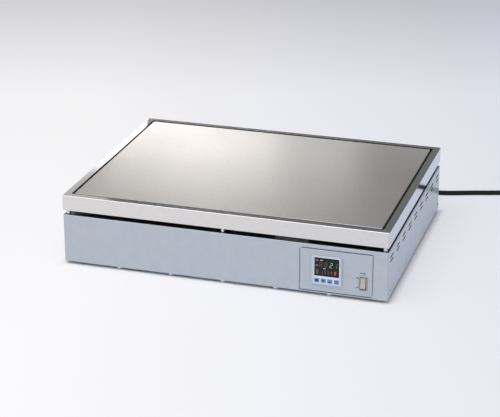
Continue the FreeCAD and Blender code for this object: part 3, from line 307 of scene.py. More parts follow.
def grained(
    name,
    colour,
    shades,
    metallic,
    roughness,
    scale,
    detail=3.0,
    stretch=(1, 1, 1),
    tone_range=(0.3, 0.7),
    roughness_range=None,
    relief_depth=None,
    relief_scale=None,
    relief_detail=2,
):
    """A finish in two shades of one grain, with a relief of that grain or of a finer one."""
    finish, tree, shader, place = new_finish(name, colour, metallic, roughness)
    pattern = grain(tree, place, scale, detail, stretch)
    two_tone(tree, shader, between(tree, pattern, 0, 1, *tone_range), *shades)
    if roughness_range:
        roughen(tree, shader, pattern, *roughness_range)
    if relief_scale:
        relief(tree, shader, grain(tree, place, relief_scale, relief_detail), relief_depth)
    elif relief_depth:
        relief(tree, shader, pattern, relief_depth)
    return finish


gap_painted_shade = grained(
    "gap_painted_shade_black",
    colour=GAP_SHADE_BLACK,
    shades=(GAP_SHADE_BLACK, GAP_SHADE_GRAIN),
    metallic=0.0,
    roughness=0.75,
    scale=220,
    detail=4,
    relief_depth=0.00004,
    relief_scale=1400,
)
dress(gap_painted_shade, "inner_cover")


# Feet: four tapered rubber feet, moulded, each with a recess for its screw.
RUBBER_BLACK = (0.016, 0.016, 0.017)
RUBBER_DUSTY = (0.045, 0.044, 0.043)

foot_rubber = grained(
    "foot_rubber",
    colour=RUBBER_BLACK,
    shades=(RUBBER_BLACK, RUBBER_DUSTY),
    metallic=0.0,
    roughness=0.6,
    scale=160,
    detail=4,
    relief_depth=0.00006,
    relief_scale=1500,
)
dress(foot_rubber, "feet")


# Screws, nuts and plated fittings: bright zinc-plated steel, turned or headed.
FITTING_BRIGHT = (0.72, 0.72, 0.72)
FITTING_SHADES = ((0.58, 0.58, 0.58), (0.78, 0.78, 0.78))

bright_steel = grained(
    "bright_steel",
    colour=FITTING_BRIGHT,
    shades=FITTING_SHADES,
    metallic=1.0,
    roughness=0.24,
    scale=700,
    roughness_range=(0.18, 0.32),
    relief_depth=0.00002,
)
dress(
    bright_steel,
    "side_screws",
    "foot_screws",
    "foot_nuts",
    "panel_nuts",
    "plate_screws",
    "upper_sleeves",
    "lower_standoffs",
    "spacers",
    "spacer_screws",
    "spacer_nuts",
    "plate_sensor",
)


# Base screws: pan-head screws driven up into the base plate's edge, where their heads show
# below the case. Painted highlight: a paler, duller copy of the zinc plating, so that the heads
# read bright in the shadow there.
SCREW_HIGHLIGHT_PALE = (0.84, 0.84, 0.83)
SCREW_HIGHLIGHT_GREY = (0.74, 0.74, 0.73)

screw_painted_highlight = grained(
    "screw_painted_highlight",
    colour=SCREW_HIGHLIGHT_PALE,
    shades=(SCREW_HIGHLIGHT_GREY, SCREW_HIGHLIGHT_PALE),
    metallic=0.25,
    roughness=0.4,
    scale=600,
    relief_depth=0.00002,
)
dress(screw_painted_highlight, "base_screws")


# Temperature controller: a 48 mm square panel instrument. The bezel and body are one moulding
# in a very pale grey plastic, with a paler field round the window and the keys.
BEZEL_PALE = (0.53, 0.585, 0.665)
BEZEL_SHADE = (0.50, 0.555, 0.635)
BEZEL_ROUGHNESS = 0.42
BEZEL_ROUGHNESS_RANGE = (0.36, 0.48)
BEZEL_CLOUD_SCALE = 90
BEZEL_STIPPLE_SCALE = 2600
BEZEL_STIPPLE_DEPTH = 0.00003
FIELD_PALE = (0.74, 0.80, 0.89)
FIELD_MIDDLE_X, FIELD_MIDDLE_Z = 0.1696, 0.0447
FIELD_HALF_WIDTH, FIELD_HALF_HEIGHT = 0.0206, 0.0221

bezel_plastic, tree, shader, place = new_finish(
    "bezel_plastic", BEZEL_PALE, metallic=0.0, roughness=BEZEL_ROUGHNESS
)
moulded = grain(tree, place, BEZEL_CLOUD_SCALE)
two_tone(tree, shader, between(tree, moulded, 0, 1), BEZEL_SHADE, BEZEL_PALE)
x, y, z = spread(tree, place)
in_field = arithmetic(
    tree,
    "MULTIPLY",
    within(tree, x, FIELD_MIDDLE_X, FIELD_HALF_WIDTH),
    within(tree, z, FIELD_MIDDLE_Z, FIELD_HALF_HEIGHT),
)
lay_over(tree, shader, in_field, FIELD_PALE)
stipple = grain(tree, place, BEZEL_STIPPLE_SCALE, detail=2)
roughen(tree, shader, stipple, *BEZEL_ROUGHNESS_RANGE)
relief(tree, shader, stipple, BEZEL_STIPPLE_DEPTH)
dress(bezel_plastic, "controller_housing")


# Closed mouldings of the controller, the relay, the thermal cut-out and the terminal block:
# black plastic with a fine stippled skin, screwed or clipped in their places.
MOULDING_BLACK = (0.02, 0.02, 0.021)
MOULDING_SHADES = ((0.016, 0.016, 0.017), (0.03, 0.03, 0.031))

black_plastic = grained(
    "black_plastic",
    colour=MOULDING_BLACK,
    shades=MOULDING_SHADES,
    metallic=0.0,
    roughness=0.45,
    scale=2200,
    detail=2,
    relief_depth=0.00004,
)
dress(
    black_plastic,
    "controller_clamp",
    "display_module",
    "overheat_cutout",
    "solid_state_relay",
    "terminal_block",
)


# Controller window: a smoked pane let in flush with the bezel, with the two rows of digits,
# the lamps and their small marks showing at its face.
SMOKE = (0.012, 0.011, 0.014)
SMOKE_SHADES = ((0.006, 0.006, 0.006), (0.013, 0.012, 0.012))
SMOKE_SHINE = 0.3
PRINT_THICKNESS = 0.00004
WINDOW_LOW, WINDOW_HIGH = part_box("controller_window")
WINDOW_X = (WINDOW_LOW.x + WINDOW_HIGH.x) / 2
WINDOW_Z = (WINDOW_LOW.z + WINDOW_HIGH.z) / 2

# Seven-segment digits: width and height, the bars' thickness, the slant and the gap at a bar's
# ends as a share of its thickness. Columns and rows count from the middle of the window.
SEGMENTS_OF = {"0": "abcdef", "1": "bc", "2": "abged", "8": "abcdefg"}
DIGIT_LEAN = 0.12
BAR_GAP = 0.62
GREEN_DIGIT = (0.0044, 0.0086)
GREEN_BAR = 0.0010
GREEN_ROW_Z = 0.0040
RED_DIGIT = (0.0028, 0.0068)
RED_BAR = 0.0011
RED_ROW_Z = -0.0083
LIT_GREEN_X = 0.0069
DIM_GREEN_X = 0.0140
LIT_RED_X = 0.0134
UNLIT_GREEN_X = (-0.0096, -0.0015)
UNLIT_RED_X = (-0.0023, 0.0025, 0.0074)

# Marks on the window: middle across, middle up, width and height.
DIM_MARK = (-0.0072, -0.0092, 0.0007, 0.0060)
WHITE_MARKS = [(-0.0038, -0.0024, 0.0035, 0.0012), (-0.0086, 0.0112, 0.0040, 0.0011)]
GREY_MARKS = [(-0.0156, up, 0.0044, 0.0006) for up in (0.0114, 0.0098, 0.0029, 0.0013)]
GREY_MARKS += [(-0.0150, up, 0.0040, 0.0006) for up in (-0.0058, -0.0076, -0.0094, -0.0112)]

window_smoke = grained(
    "window_smoke",
    colour=SMOKE,
    shades=SMOKE_SHADES,
    metallic=0.0,
    roughness=0.16,
    scale=700,
    roughness_range=(0.13, 0.22),
)
smoke_shader = window_smoke.node_tree.nodes["Principled BSDF"]
smoke_shader.inputs["Specular IOR Level"].default_value = SMOKE_SHINE
dress(window_smoke, "controller_window")


def lit_finish(name, colour, glow):
    """A display colour that shines by itself."""
    faint = tuple(0.8 * part for part in colour)
    finish = grained(
        name,
        colour=colour,
        shades=(faint, colour),
        metallic=0.0,
        roughness=0.5,
        scale=900,
        detail=2,
    )
    shader = finish.node_tree.nodes["Principled BSDF"]
    shader.inputs["Emission Color"].default_value = (*colour, 1)
    shader.inputs["Emission Strength"].default_value = glow
    return finish


def plates(name, outlines, face_y, thickness, finish, body):
    """Thin flat prints standing on a face that looks along -Y. Outlines are lists of (x, z)."""
    shape = bmesh.new()
    for outline in outlines:
        back, front = (
            [shape.verts.new((x, y, z)) for x, z in outline]
            for y in (face_y, face_y - thickness)
        )
        count = len(outline)
        shape.faces.new(front)
        shape.faces.new(back[::-1])
        for index in range(count):
            after = (index + 1) % count
            shape.faces.new((back[index], back[after], front[after], front[index]))
    bmesh.ops.recalc_face_normals(shape, faces=shape.faces[:])
    mesh = bpy.data.meshes.new(name)
    shape.to_mesh(mesh)
    shape.free()
    mesh.materials.append(finish)
    piece = bpy.data.objects.new(name, mesh)
    bpy.context.scene.collection.objects.link(piece)
    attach(piece, body)


def segment_outlines(letters, x, z, width, height, bar):
    """The bars of one seven-segment digit with its middle at x, z."""
    half_w, half_h = width / 2 - bar / 2, height / 2 - bar / 2
    ends = {
        "a": ((-half_w, half_h), (half_w, half_h)),
        "b": ((half_w, half_h), (half_w, 0)),
        "c": ((half_w, 0), (half_w, -half_h)),
        "d": ((-half_w, -half_h), (half_w, -half_h)),
        "e": ((-half_w, 0), (-half_w, -half_h)),
        "f": ((-half_w, half_h), (-half_w, 0)),
        "g": ((-half_w, 0), (half_w, 0)),
    }
    outlines = []
    for letter in letters:
        (x0, z0), (x1, z1) = ends[letter]
        along = Vector((x1 - x0, z1 - z0)).normalized()
        across = Vector((-along.y, along.x)) * (bar / 2)
        start = Vector((x0, z0)) + along * (bar * BAR_GAP)
        end = Vector((x1, z1)) - along * (bar * BAR_GAP)
        tip = along * (bar / 2)
        ring = [
            start - tip, start + across, end + across, end + tip, end - across, start - across
        ]
        outlines.append([(x + p.x + DIGIT_LEAN * p.y, z + p.y) for p in ring])
    return outlines


def bars(marks):
    """Small upright rectangles, each from its middle in the window, its width and its height."""
    outlines = []
    for x, z, width, height in marks:
        left, right = WINDOW_X + x - width / 2, WINDOW_X + x + width / 2
        low, high = WINDOW_Z + z - height / 2, WINDOW_Z + z + height / 2
        outlines.append([(left, low), (right, low), (right, high), (left, high)])
    return outlines


def row_of_digits(figures, columns, row_z, size, bar):
    """Seven-segment digits side by side, from the middle of the window."""
    outlines = []
    for figure, x in zip(figures, columns):
        outlines += segment_outlines(
            SEGMENTS_OF[figure], WINDOW_X + x, WINDOW_Z + row_z, *size, bar
        )
    return outlines


def green_digits(figures, columns):
    """Digits of the upper row."""
    return row_of_digits(figures, columns, GREEN_ROW_Z, GREEN_DIGIT, GREEN_BAR)


def red_digits(figures, columns):
    """Digits of the lower row."""
    return row_of_digits(figures, columns, RED_ROW_Z, RED_DIGIT, RED_BAR)


# Each print: its name, its colour, its glow and its outlines.
display_prints = [
    ("display_green", (0.15, 0.44, 0.22), 0.55, green_digits("2", [LIT_GREEN_X])),
    (
        "display_dim_green",
        (0.07, 0.19, 0.09),
        0.3,
        green_digits("1", [DIM_GREEN_X]) + bars([DIM_MARK]),
    ),
    ("display_red", (0.60, 0.05, 0.06), 0.75, red_digits("0", [LIT_RED_X])),
    (
        "display_unlit",
        (0.085, 0.082, 0.084),
        0.0,
        green_digits("88", UNLIT_GREEN_X) + red_digits("888", UNLIT_RED_X),
    ),
    ("display_marks", (0.33, 0.34, 0.33), 0.0, bars(GREY_MARKS)),
    ("display_white", (0.62, 0.66, 0.62), 0.15, bars(WHITE_MARKS)),
]
for name, colour, glow, outlines in display_prints:
    ink = lit_finish(name, colour, glow)
    plates(name, outlines, WINDOW_LOW.y, PRINT_THICKNESS, ink, "case")


# Keys: four blue push keys under the window, each a moulded cap with a dark printed sign.
KEY_BLUE = (0.150, 0.320, 0.60)
KEY_BLUE_SHADE = (0.125, 0.275, 0.53)
SIGN_DARK = (0.004, 0.006, 0.022)
SIGN_WORN = (0.012, 0.016, 0.045)
SIGN_HALF = 0.0021

key_plastic = grained(
    "key_plastic",
    colour=KEY_BLUE,
    shades=(KEY_BLUE_SHADE, KEY_BLUE),
    metallic=0.0,
    roughness=0.3,
    scale=420,
    roughness_range=(0.26, 0.36),
    relief_depth=0.00002,
    relief_scale=2500,
)
dress(key_plastic, "set_key", "shift_key", "down_key", "up_key")

sign_print = grained(
    "sign_print",
    colour=SIGN_DARK,
    shades=(SIGN_DARK, SIGN_WORN),
    metallic=0.0,
    roughness=0.5,
    scale=1800,
)

# The signs' outlines in half widths of a sign: a block, two arrowheads and two bars.
key_signs = {
    "set_key": [[(-1, -0.9), (1, -0.9), (1, 0.9), (-1, 0.9)]],
    "shift_key": [[(-1, 0.8), (0, -1), (1, 0.8)]],
    "down_key": [[(-1, -0.8), (1, -0.8), (0, 1)]],
    "up_key": [
        [(-1, -0.9), (1, -0.9), (1, -0.3), (-1, -0.3)],
        [(-1, 0.3), (1, 0.3), (1, 0.9), (-1, 0.9)],
    ],
}
for key_name, outlines in key_signs.items():
    low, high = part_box(key_name)
    middle_x, middle_z = (low.x + high.x) / 2, (low.z + high.z) / 2
    placed = [
        [(middle_x + SIGN_HALF * x, middle_z + SIGN_HALF * z) for x, z in outline]
        for outline in outlines
    ]
    sign, cap = key_name + "_sign", key_name + "_cap"
    plates(sign, placed, low.y, PRINT_THICKNESS, sign_print, cap)


# Power switch: a rocker switch snapped into the panel, with an ivory rocker in a grey frame,
# which has painted shade in the recess round the rocker. Its legends are printed on the panel
# beside it.
IVORY = (0.50, 0.51, 0.43)
IVORY_SHADE = (0.45, 0.46, 0.385)
FRAME_GREY = (0.43, 0.45, 0.46)
FRAME_SHADE = (0.36, 0.38, 0.39)
RECESS_PAINTED_SHADE = (0.03, 0.032, 0.034)
RECESS_HALF_WIDTH, RECESS_HALF_HEIGHT = 0.0052, 0.0105
ROCKER_X, ROCKER_Z = 0.2265, 0.0301
LEGEND_INK = (0.018, 0.024, 0.042)
LEGEND_WORN = (0.03, 0.038, 0.06)
LEGEND_HEIGHT = 0.0027
LEGEND_THICKNESS = 0.00003
LEGEND_WEIGHT = 0.00009
LEGENDS = [
    ("legend_power", "POWER", 0.2258, 0.0463),
    ("legend_on", "ON", 0.2173, 0.0380),
    ("legend_off", "OFF", 0.2173, 0.0220),
]

ivory_plastic = grained(
    "ivory_plastic",
    colour=IVORY,
    shades=(IVORY_SHADE, IVORY),
    metallic=0.0,
    roughness=0.3,
    scale=260,
    roughness_range=(0.25, 0.36),
    relief_depth=0.00002,
    relief_scale=2400,
)
dress(ivory_plastic, "switch_rocker")

switch_frame = grained(
    "switch_frame",
    colour=FRAME_GREY,
    shades=(FRAME_SHADE, FRAME_GREY),
    metallic=0.0,
    roughness=0.36,
    scale=300,
    relief_depth=0.00002,
    relief_scale=2400,
)
tree = switch_frame.node_tree
x, y, z = spread(tree, tree.nodes["Texture Coordinate"].outputs["Object"])
# Painted shade: dark laid over the frame in the recess round the rocker.
in_recess = arithmetic(
    tree,
    "MULTIPLY",
    within(tree, x, ROCKER_X, RECESS_HALF_WIDTH),
    within(tree, z, ROCKER_Z, RECESS_HALF_HEIGHT),
)
lay_over(tree, tree.nodes["Principled BSDF"], in_recess, RECESS_PAINTED_SHADE)
dress(switch_frame, "switch_body")

legend_ink = grained(
    "legend_ink",
    colour=LEGEND_INK,
    shades=(LEGEND_INK, LEGEND_WORN),
    metallic=0.0,
    roughness=0.45,
    scale=1500,
)


def printed_word(name, word, middle_x, middle_z):
    """A word in thin ink on the panel."""
    curve = bpy.data.curves.new(name, "FONT")
    curve.body = word
    curve.size = LEGEND_HEIGHT
    curve.extrude = LEGEND_THICKNESS
    curve.offset = LEGEND_WEIGHT
    curve.align_x = "CENTER"
    curve.align_y = "CENTER"
    flat = bpy.data.objects.new(name + "_type", curve)
    bpy.context.scene.collection.objects.link(flat)
    bpy.context.view_layer.update()
    mesh = bpy.data.meshes.new_from_object(flat)
    bpy.data.objects.remove(flat)
    mesh.name = name
    upright = Matrix.Translation((middle_x, PANEL_LOW.y - LEGEND_THICKNESS, middle_z))
    mesh.transform(upright @ Matrix.Rotation(math.radians(90), 4, "X"))
    mesh.materials.clear()
    mesh.materials.append(legend_ink)
    piece = bpy.data.objects.new(name, mesh)
    bpy.context.scene.collection.objects.link(piece)
    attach(piece, "case")


for legend in LEGENDS:
    printed_word(*legend)


# Top frame: stainless strip folded to a skirt, a flange and a lip, mitred at the corners,
# welded and brushed along its length. It holds the plate and carries the whole upper unit.
STEEL_BRIGHT = (0.755, 0.742, 0.738)
STEEL_SHADE = (0.665, 0.653, 0.650)
STEEL_ROUGHNESS = 0.1
STEEL_ROUGHNESS_RANGE = (0.07, 0.13)
GROOVE_PAINTED_SHADE = (0.012, 0.012, 0.012)
FLANGE_WIDTH = 0.012
GROOVE_EDGE = 0.0008
MITRE_HALF_WIDTH = 0.00022
MITRE_DEPTH = 0.00005
BRUSH_SCALE = 90.0
BRUSH_DETAIL = 5
BRUSH_STRETCH = 40.0
BRUSH_SHARE_OF_DEPTH = 0.15
FRAME_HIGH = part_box("top_frame")[1]

frame_steel, tree, shader, place = new_finish(
    "frame_steel", STEEL_BRIGHT, metallic=1.0, roughness=STEEL_ROUGHNESS
)
x, y, z = spread(tree, place)
from_side = inside_edge(tree, x, FRAME_HIGH.x)
from_end = inside_edge(tree, y, FRAME_HIGH.y)
past_mitre = arithmetic(tree, "SUBTRACT", from_side, from_end)
on_long_side = arithmetic(tree, "GREATER_THAN", past_mitre, 0.0)
on_mitre = within(tree, past_mitre, 0.0, MITRE_HALF_WIDTH)
along_x = (1, BRUSH_STRETCH, BRUSH_STRETCH)
along_y = (BRUSH_STRETCH, 1, BRUSH_STRETCH)
brush = tree.nodes.new("ShaderNodeMix")
tree.links.new(on_long_side, brush.inputs["Factor"])
tree.links.new(grain(tree, place, BRUSH_SCALE, BRUSH_DETAIL, along_y), brush.inputs["A"])
tree.links.new(grain(tree, place, BRUSH_SCALE, BRUSH_DETAIL, along_x), brush.inputs["B"])
brushed = brush.outputs["Result"]
two_tone(tree, shader, between(tree, brushed, 0, 1), STEEL_SHADE, STEEL_BRIGHT)
roughen(tree, shader, brushed, *STEEL_ROUGHNESS_RANGE)
# Painted shade: the groove under the plate's edge is painted black.
from_rim = arithmetic(tree, "MINIMUM", from_side, from_end)
in_groove = arithmetic(tree, "GREATER_THAN", from_rim, FLANGE_WIDTH - GROOVE_EDGE)
lay_over(tree, shader, in_groove, GROOVE_PAINTED_SHADE)
brushing = arithmetic(tree, "MULTIPLY", brushed, BRUSH_SHARE_OF_DEPTH)
relief(tree, shader, arithmetic(tree, "SUBTRACT", brushing, on_mitre), MITRE_DEPTH)
dress(frame_steel, "top_frame")


# Heating plate: a flat aluminium plate, ground and blasted to an even satin, with the faint
# marks and stains that heating leaves. Screwed up from below against the element.
PLATE_LIGHT = (0.655, 0.628, 0.610)
PLATE_DARK = (0.475, 0.455, 0.442)
PLATE_STAIN = (0.49, 0.455, 0.425)
PLATE_METALLIC = 0.85
PLATE_ROUGHNESS = 0.40
PLATE_ROUGHNESS_RANGE = (0.35, 0.45)
SPECKLE_SCALE = 340
SPECKLE_DEPTH = 0.00003
STAIN_SCALE = 9
MOTTLE_SCALE = 300
MOST_STAIN = 0.35

plate_satin, tree, shader, place = new_finish(
    "plate_satin", PLATE_LIGHT, PLATE_METALLIC, PLATE_ROUGHNESS
)
speckle = grain(tree, place, SPECKLE_SCALE, detail=4)
cloud = grain(tree, place, STAIN_SCALE, detail=4)
mottle = grain(tree, place, MOTTLE_SCALE, detail=2)
two_tone(
    tree, shader, between(tree, speckle, 0, 1, start=0.2, end=0.8), PLATE_DARK, PLATE_LIGHT
)
stained = arithmetic(
    tree,
    "ADD",
    between(tree, cloud, 0, MOST_STAIN, start=0.45, end=0.8),
    between(tree, mottle, 0, MOST_STAIN, start=0.4, end=0.75),
)
lay_over(tree, shader, stained, PLATE_STAIN)
roughen(tree, shader, speckle, *PLATE_ROUGHNESS_RANGE)
relief(tree, shader, speckle, SPECKLE_DEPTH)
dress(plate_satin, "heating_plate")


# Heating element: a sheathed tube bent to and fro, dulled and tinted by its own heat.
ELEMENT_BROWN = (0.16, 0.13, 0.11)
ELEMENT_SHADES = ((0.10, 0.085, 0.08), (0.24, 0.18, 0.13))

element_sheath = grained(
    "element_sheath",
    colour=ELEMENT_BROWN,
    shades=ELEMENT_SHADES,
    metallic=0.8,
    roughness=0.45,
    scale=45,
    detail=4,
    relief_depth=0.00004,
    relief_scale=900,
    relief_detail=3,
)
dress(element_sheath, "heating_element")


# Insulation board: pressed ceramic fibre, off-white and slightly fluffy.
FIBRE_WHITE = (0.78, 0.76, 0.71)
FIBRE_SHADES = ((0.66, 0.64, 0.59), (0.82, 0.80, 0.76))

ceramic_fibre = grained(
    "ceramic_fibre",
    colour=FIBRE_WHITE,
    shades=FIBRE_SHADES,
    metallic=0.0,
    roughness=0.95,
    scale=380,
    detail=5,
    relief_depth=0.0004,
)
dress(ceramic_fibre, "insulation_board")


# Heat sink: extruded aluminium with straight fins, natural finish, drawn along its length.
SINK_GREY = (0.6, 0.6, 0.61)
SINK_SHADES = ((0.5, 0.5, 0.51), (0.66, 0.66, 0.67))

sink_aluminium = grained(
    "sink_aluminium",
    colour=SINK_GREY,
    shades=SINK_SHADES,
    metallic=0.95,
    roughness=0.4,
    scale=120,
    detail=4,
    stretch=(30, 1, 30),
    relief_depth=0.00003,
)
dress(sink_aluminium, "heat_sink")


# Brass terminals: stamped and turned contacts of the switch, block, earth point and plug.
BRASS_YELLOW = (0.66, 0.50, 0.24)
BRASS_SHADES = ((0.50, 0.37, 0.17), (0.72, 0.57, 0.30))

contact_brass = grained(
    "contact_brass",
    colour=BRASS_YELLOW,
    shades=BRASS_SHADES,
    metallic=1.0,
    roughness=0.28,
    scale=300,
    detail=4,
    roughness_range=(0.2, 0.38),
    relief_depth=0.00002,
)
dress(contact_brass, "switch_tabs", "terminal_screws", "earth_terminal", "plug_pins")


# Circuit board and key mat inside the controller: green coated board, grey silicone mat.
BOARD_GREEN = (0.02, 0.12, 0.05)
BOARD_SHADES = ((0.015, 0.09, 0.035), (0.03, 0.16, 0.07))
SILICONE_GREY = (0.25, 0.25, 0.26)
SILICONE_SHADES = ((0.21, 0.21, 0.22), (0.29, 0.29, 0.3))

board_green = grained(
    "board_green",
    colour=BOARD_GREEN,
    shades=BOARD_SHADES,
    metallic=0.0,
    roughness=0.4,
    scale=700,
    detail=1,
    stretch=(1, 1, 8),
    tone_range=(0.45, 0.55),
    relief_depth=0.00004,
)
dress(board_green, "controller_board")

silicone_grey = grained(
    "silicone_grey",
    colour=SILICONE_GREY,
    shades=SILICONE_SHADES,
    metallic=0.0,
    roughness=0.7,
    scale=500,
    relief_depth=0.00004,
    relief_scale=1800,
)
dress(silicone_grey, "key_mat")


# Internal wires: stranded copper in silicone or braided glass sleeves.
SLEEVE_STRAW = (0.55, 0.52, 0.46)
SLEEVE_SHADES = ((0.45, 0.42, 0.37), (0.62, 0.59, 0.53))

wire_sleeve = grained(
    "wire_sleeve",
    colour=SLEEVE_STRAW,
    shades=SLEEVE_SHADES,
    metallic=0.0,
    roughness=0.65,
    scale=1100,
    detail=2,
    relief_depth=0.0001,
)
dress(wire_sleeve, "mains_wires", "switch_wires", "relay_wires", "heater_leads", "signal_wires")


# Mains lead: round three-core flexible cord in a soft black sheath. It leaves the strain
# relief at the back, lies on the bench beside the unit, and its spare length is wound into a
# neat coil with the moulded plug beside it.
CORD_DIAMETER = 0.0084
CORD_Z = 0.0043
COIL_X, COIL_Y = 0.4168, 0.381
COIL_MIDDLE_RADIUS = 0.0420
COIL_STEPS = 16
COIL_START_DEG = -73.0
COIL_END_TURNS = 6 - COIL_START_DEG / 360
CROSSOVER = 0.16
PLUG_ENTRY = 0.004
PLUG_BEFORE_Z, PLUG_INSIDE_Z = 0.0115, 0.011
SHEATH_BLACK = (0.006, 0.006, 0.007)
SHEATH_SCUFF = (0.012, 0.012, 0.013)
SHEATH_SHINE = 0.2

# The route from the strain relief to the coil, then six turns in two layers of three, and the
# way into the plug.
cord_points = [
    (0.070, 0.233, 0.020),
    (0.070, 0.261, 0.020),
    (0.079, 0.292, 0.015),
    (0.1005, 0.318, 0.008),
    (0.131, 0.3295, CORD_Z),
    (0.163, 0.324, CORD_Z),
    (0.1885, 0.306, CORD_Z),
    (0.2105, 0.285, CORD_Z),
    (0.2375, 0.2725, CORD_Z),
    (0.2685, 0.2775, CORD_Z),
    (0.3075, 0.292, CORD_Z),
    (0.3475, 0.3035, CORD_Z),
    (0.3895, 0.320, CORD_Z),
]
outer_radius = COIL_MIDDLE_RADIUS + CORD_DIAMETER
inner_radius = COIL_MIDDLE_RADIUS - CORD_DIAMETER
first_layer = [outer_radius, COIL_MIDDLE_RADIUS, inner_radius]
turn_radii = first_layer + first_layer[::-1]
turn_levels = [CORD_Z] * 3 + [CORD_Z + CORD_DIAMETER] * 3

# The quadratic curve runs inside its points, so the points of the coil stand out by this much.
coil_swell = 1 / ((1 + math.cos(math.pi / COIL_STEPS) ** 2) / 2)


def eased(amount):
    """A smooth step from 0 to 1."""
    amount = min(max(amount, 0.0), 1.0)
    return amount * amount * (3 - 2 * amount)


for step in range(int(COIL_END_TURNS * COIL_STEPS) + 1):
    turns = step / COIL_STEPS
    turn = min(int(turns), len(turn_radii) - 1)
    after = min(turn + 1, len(turn_radii) - 1)
    share = eased((turns - turn - 1 + CROSSOVER) / CROSSOVER)
    radius = turn_radii[turn] + share * (turn_radii[after] - turn_radii[turn])
    level = turn_levels[turn] + share * (turn_levels[after] - turn_levels[turn])
    angle = math.radians(COIL_START_DEG) + 2 * math.pi * turns
    cord_points.append(
        (
            COIL_X + coil_swell * radius * math.cos(angle),
            COIL_Y + coil_swell * radius * math.sin(angle),
            level,
        )
    )
plug_low, plug_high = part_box("plug_body")
plug_x = (plug_low.x + plug_high.x) / 2
cord_points.append((plug_x, plug_low.y - PLUG_ENTRY, PLUG_BEFORE_Z))
cord_points.append((plug_x, plug_low.y + PLUG_ENTRY, PLUG_INSIDE_Z))

sheath = grained(
    "cord_sheath",
    colour=SHEATH_BLACK,
    shades=(SHEATH_BLACK, SHEATH_SCUFF),
    metallic=0.0,
    roughness=0.5,
    scale=240,
    detail=4,
    roughness_range=(0.44, 0.60),
    relief_depth=0.00005,
    relief_scale=1600,
)
sheath_shader = sheath.node_tree.nodes["Principled BSDF"]
sheath_shader.inputs["Specular IOR Level"].default_value = SHEATH_SHINE

line = bpy.data.curves.new("mains_lead", "CURVE")
line.dimensions = "3D"
line.bevel_depth = CORD_DIAMETER / 2
line.bevel_resolution = 5
line.resolution_u = 6
line.use_fill_caps = True
spline = line.splines.new("NURBS")
spline.points.add(len(cord_points) - 1)
for point, where in zip(spline.points, cord_points):
    point.co = (*where, 1)
spline.order_u = 3
spline.use_endpoint_u = True
line.materials.append(sheath)
lead = bpy.data.objects.new("mains_lead", line)
bpy.context.scene.collection.objects.link(lead)
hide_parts("power_cord", "cord_coil")
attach(lead, "case")
dress(sheath, "cord_gland", "plug_body")


# Bench: pale seamless paper, with painted falloff of light that darkens it far off. Seen by the
# camera or in metal it glows with painted light, lighter at the left and darker at the right,
# fading far off and bluer as a painted reflection where the metal mirrors it beside the case.
# The glow stops short of the unit, so that the unit keeps its shadow there.
BENCH_HALF = 9.0
PAPER_PALE = (0.93, 0.92, 0.935)
PAPER_FAR_FALLOFF = (0.80, 0.765, 0.83)
PAPER_ROUGHNESS = 0.9
PAPER_SHINE = 0.1
PAPER_FADE = (0.70, 1.55)
GLOW_LIT_LEFT = (0.975, 0.965, 0.970)
GLOW_SHADED_RIGHT = (0.765, 0.785, 0.87)
GLOW_ACROSS = (-0.35, 0.45)
GLOW_PAINTED_REFLECTION = (0.62, 0.70, 0.88)
GLOW_FAR_FALLOFF = 0.68
GLOW_FADE = (0.78, 1.60)
GLOW_SHARE = 0.70
FOOT_SHADOW = 0.012
CAMERA_YAW_DEG = -17.1164

bench_mesh = bpy.data.meshes.new("bench")
corners = [(-1, -1), (1, -1), (1, 1), (-1, 1)]
bench_mesh.from_pydata(
    [(BENCH_HALF * x, BENCH_HALF * y, 0) for x, y in corners], [], [(0, 1, 2, 3)]
)
bench = bpy.data.objects.new("bench", bench_mesh)
bpy.context.scene.collection.objects.link(bench)

paper, tree, shader, place = new_finish(
    "bench_paper", PAPER_PALE, metallic=0.0, roughness=PAPER_ROUGHNESS
)
shader.inputs["Specular IOR Level"].default_value = PAPER_SHINE
x, y, z = spread(tree, place)
yaw = math.radians(CAMERA_YAW_DEG)
away = arithmetic(
    tree,
    "ADD",
    arithmetic(tree, "MULTIPLY", x, math.sin(yaw)),
    arithmetic(tree, "MULTIPLY", y, math.cos(yaw)),
)
aside = arithmetic(
    tree,
    "SUBTRACT",
    arithmetic(tree, "MULTIPLY", x, math.cos(yaw)),
    arithmetic(tree, "MULTIPLY", y, math.sin(yaw)),
)
# Painted falloff of light: the paper's colour darkens farther away.
two_tone(tree, shader, between(tree, away, 0, 1, *PAPER_FADE), PAPER_PALE, PAPER_FAR_FALLOFF)

ray = tree.nodes.new("ShaderNodeLightPath")
# Painted light: the glow is lighter at the left, darker at the right, bluer where mirrored beside
# the case, and fades far off.
painted_light_tone = mixed(tree, between(tree, aside, 0, 1, *GLOW_ACROSS), GLOW_LIT_LEFT, GLOW_SHADED_RIGHT)
mirrored_beside = arithmetic(
    tree,
    "MULTIPLY",
    ray.outputs["Is Glossy Ray"],
    arithmetic(tree, "GREATER_THAN", x, CASE_HIGH.x),
)
glow = tree.nodes.new("ShaderNodeEmission")
tree.links.new(mixed(tree, mirrored_beside, painted_light_tone, GLOW_PAINTED_REFLECTION), glow.inputs["Color"])
tree.links.new(
    between(tree, away, 1, GLOW_FAR_FALLOFF, *GLOW_FADE), glow.inputs["Strength"]
)
past_foot = arithmetic(
    tree,
    "MAXIMUM",
    arithmetic(tree, "SUBTRACT", arithmetic(tree, "ABSOLUTE", x), CASE_HIGH.x),
    arithmetic(tree, "SUBTRACT", arithmetic(tree, "ABSOLUTE", y), CASE_HIGH.y),
)
seen = ray.outputs["Is Camera Ray"]
for kind in ("Is Glossy Ray", "Is Transmission Ray"):
    seen = arithmetic(tree, "MAXIMUM", seen, ray.outputs[kind])
share = arithmetic(
    tree, "MULTIPLY", seen, between(tree, past_foot, 0, GLOW_SHARE, 0, FOOT_SHADOW)
)
cover = tree.nodes.new("ShaderNodeMixShader")
tree.links.new(share, cover.inputs["Fac"])
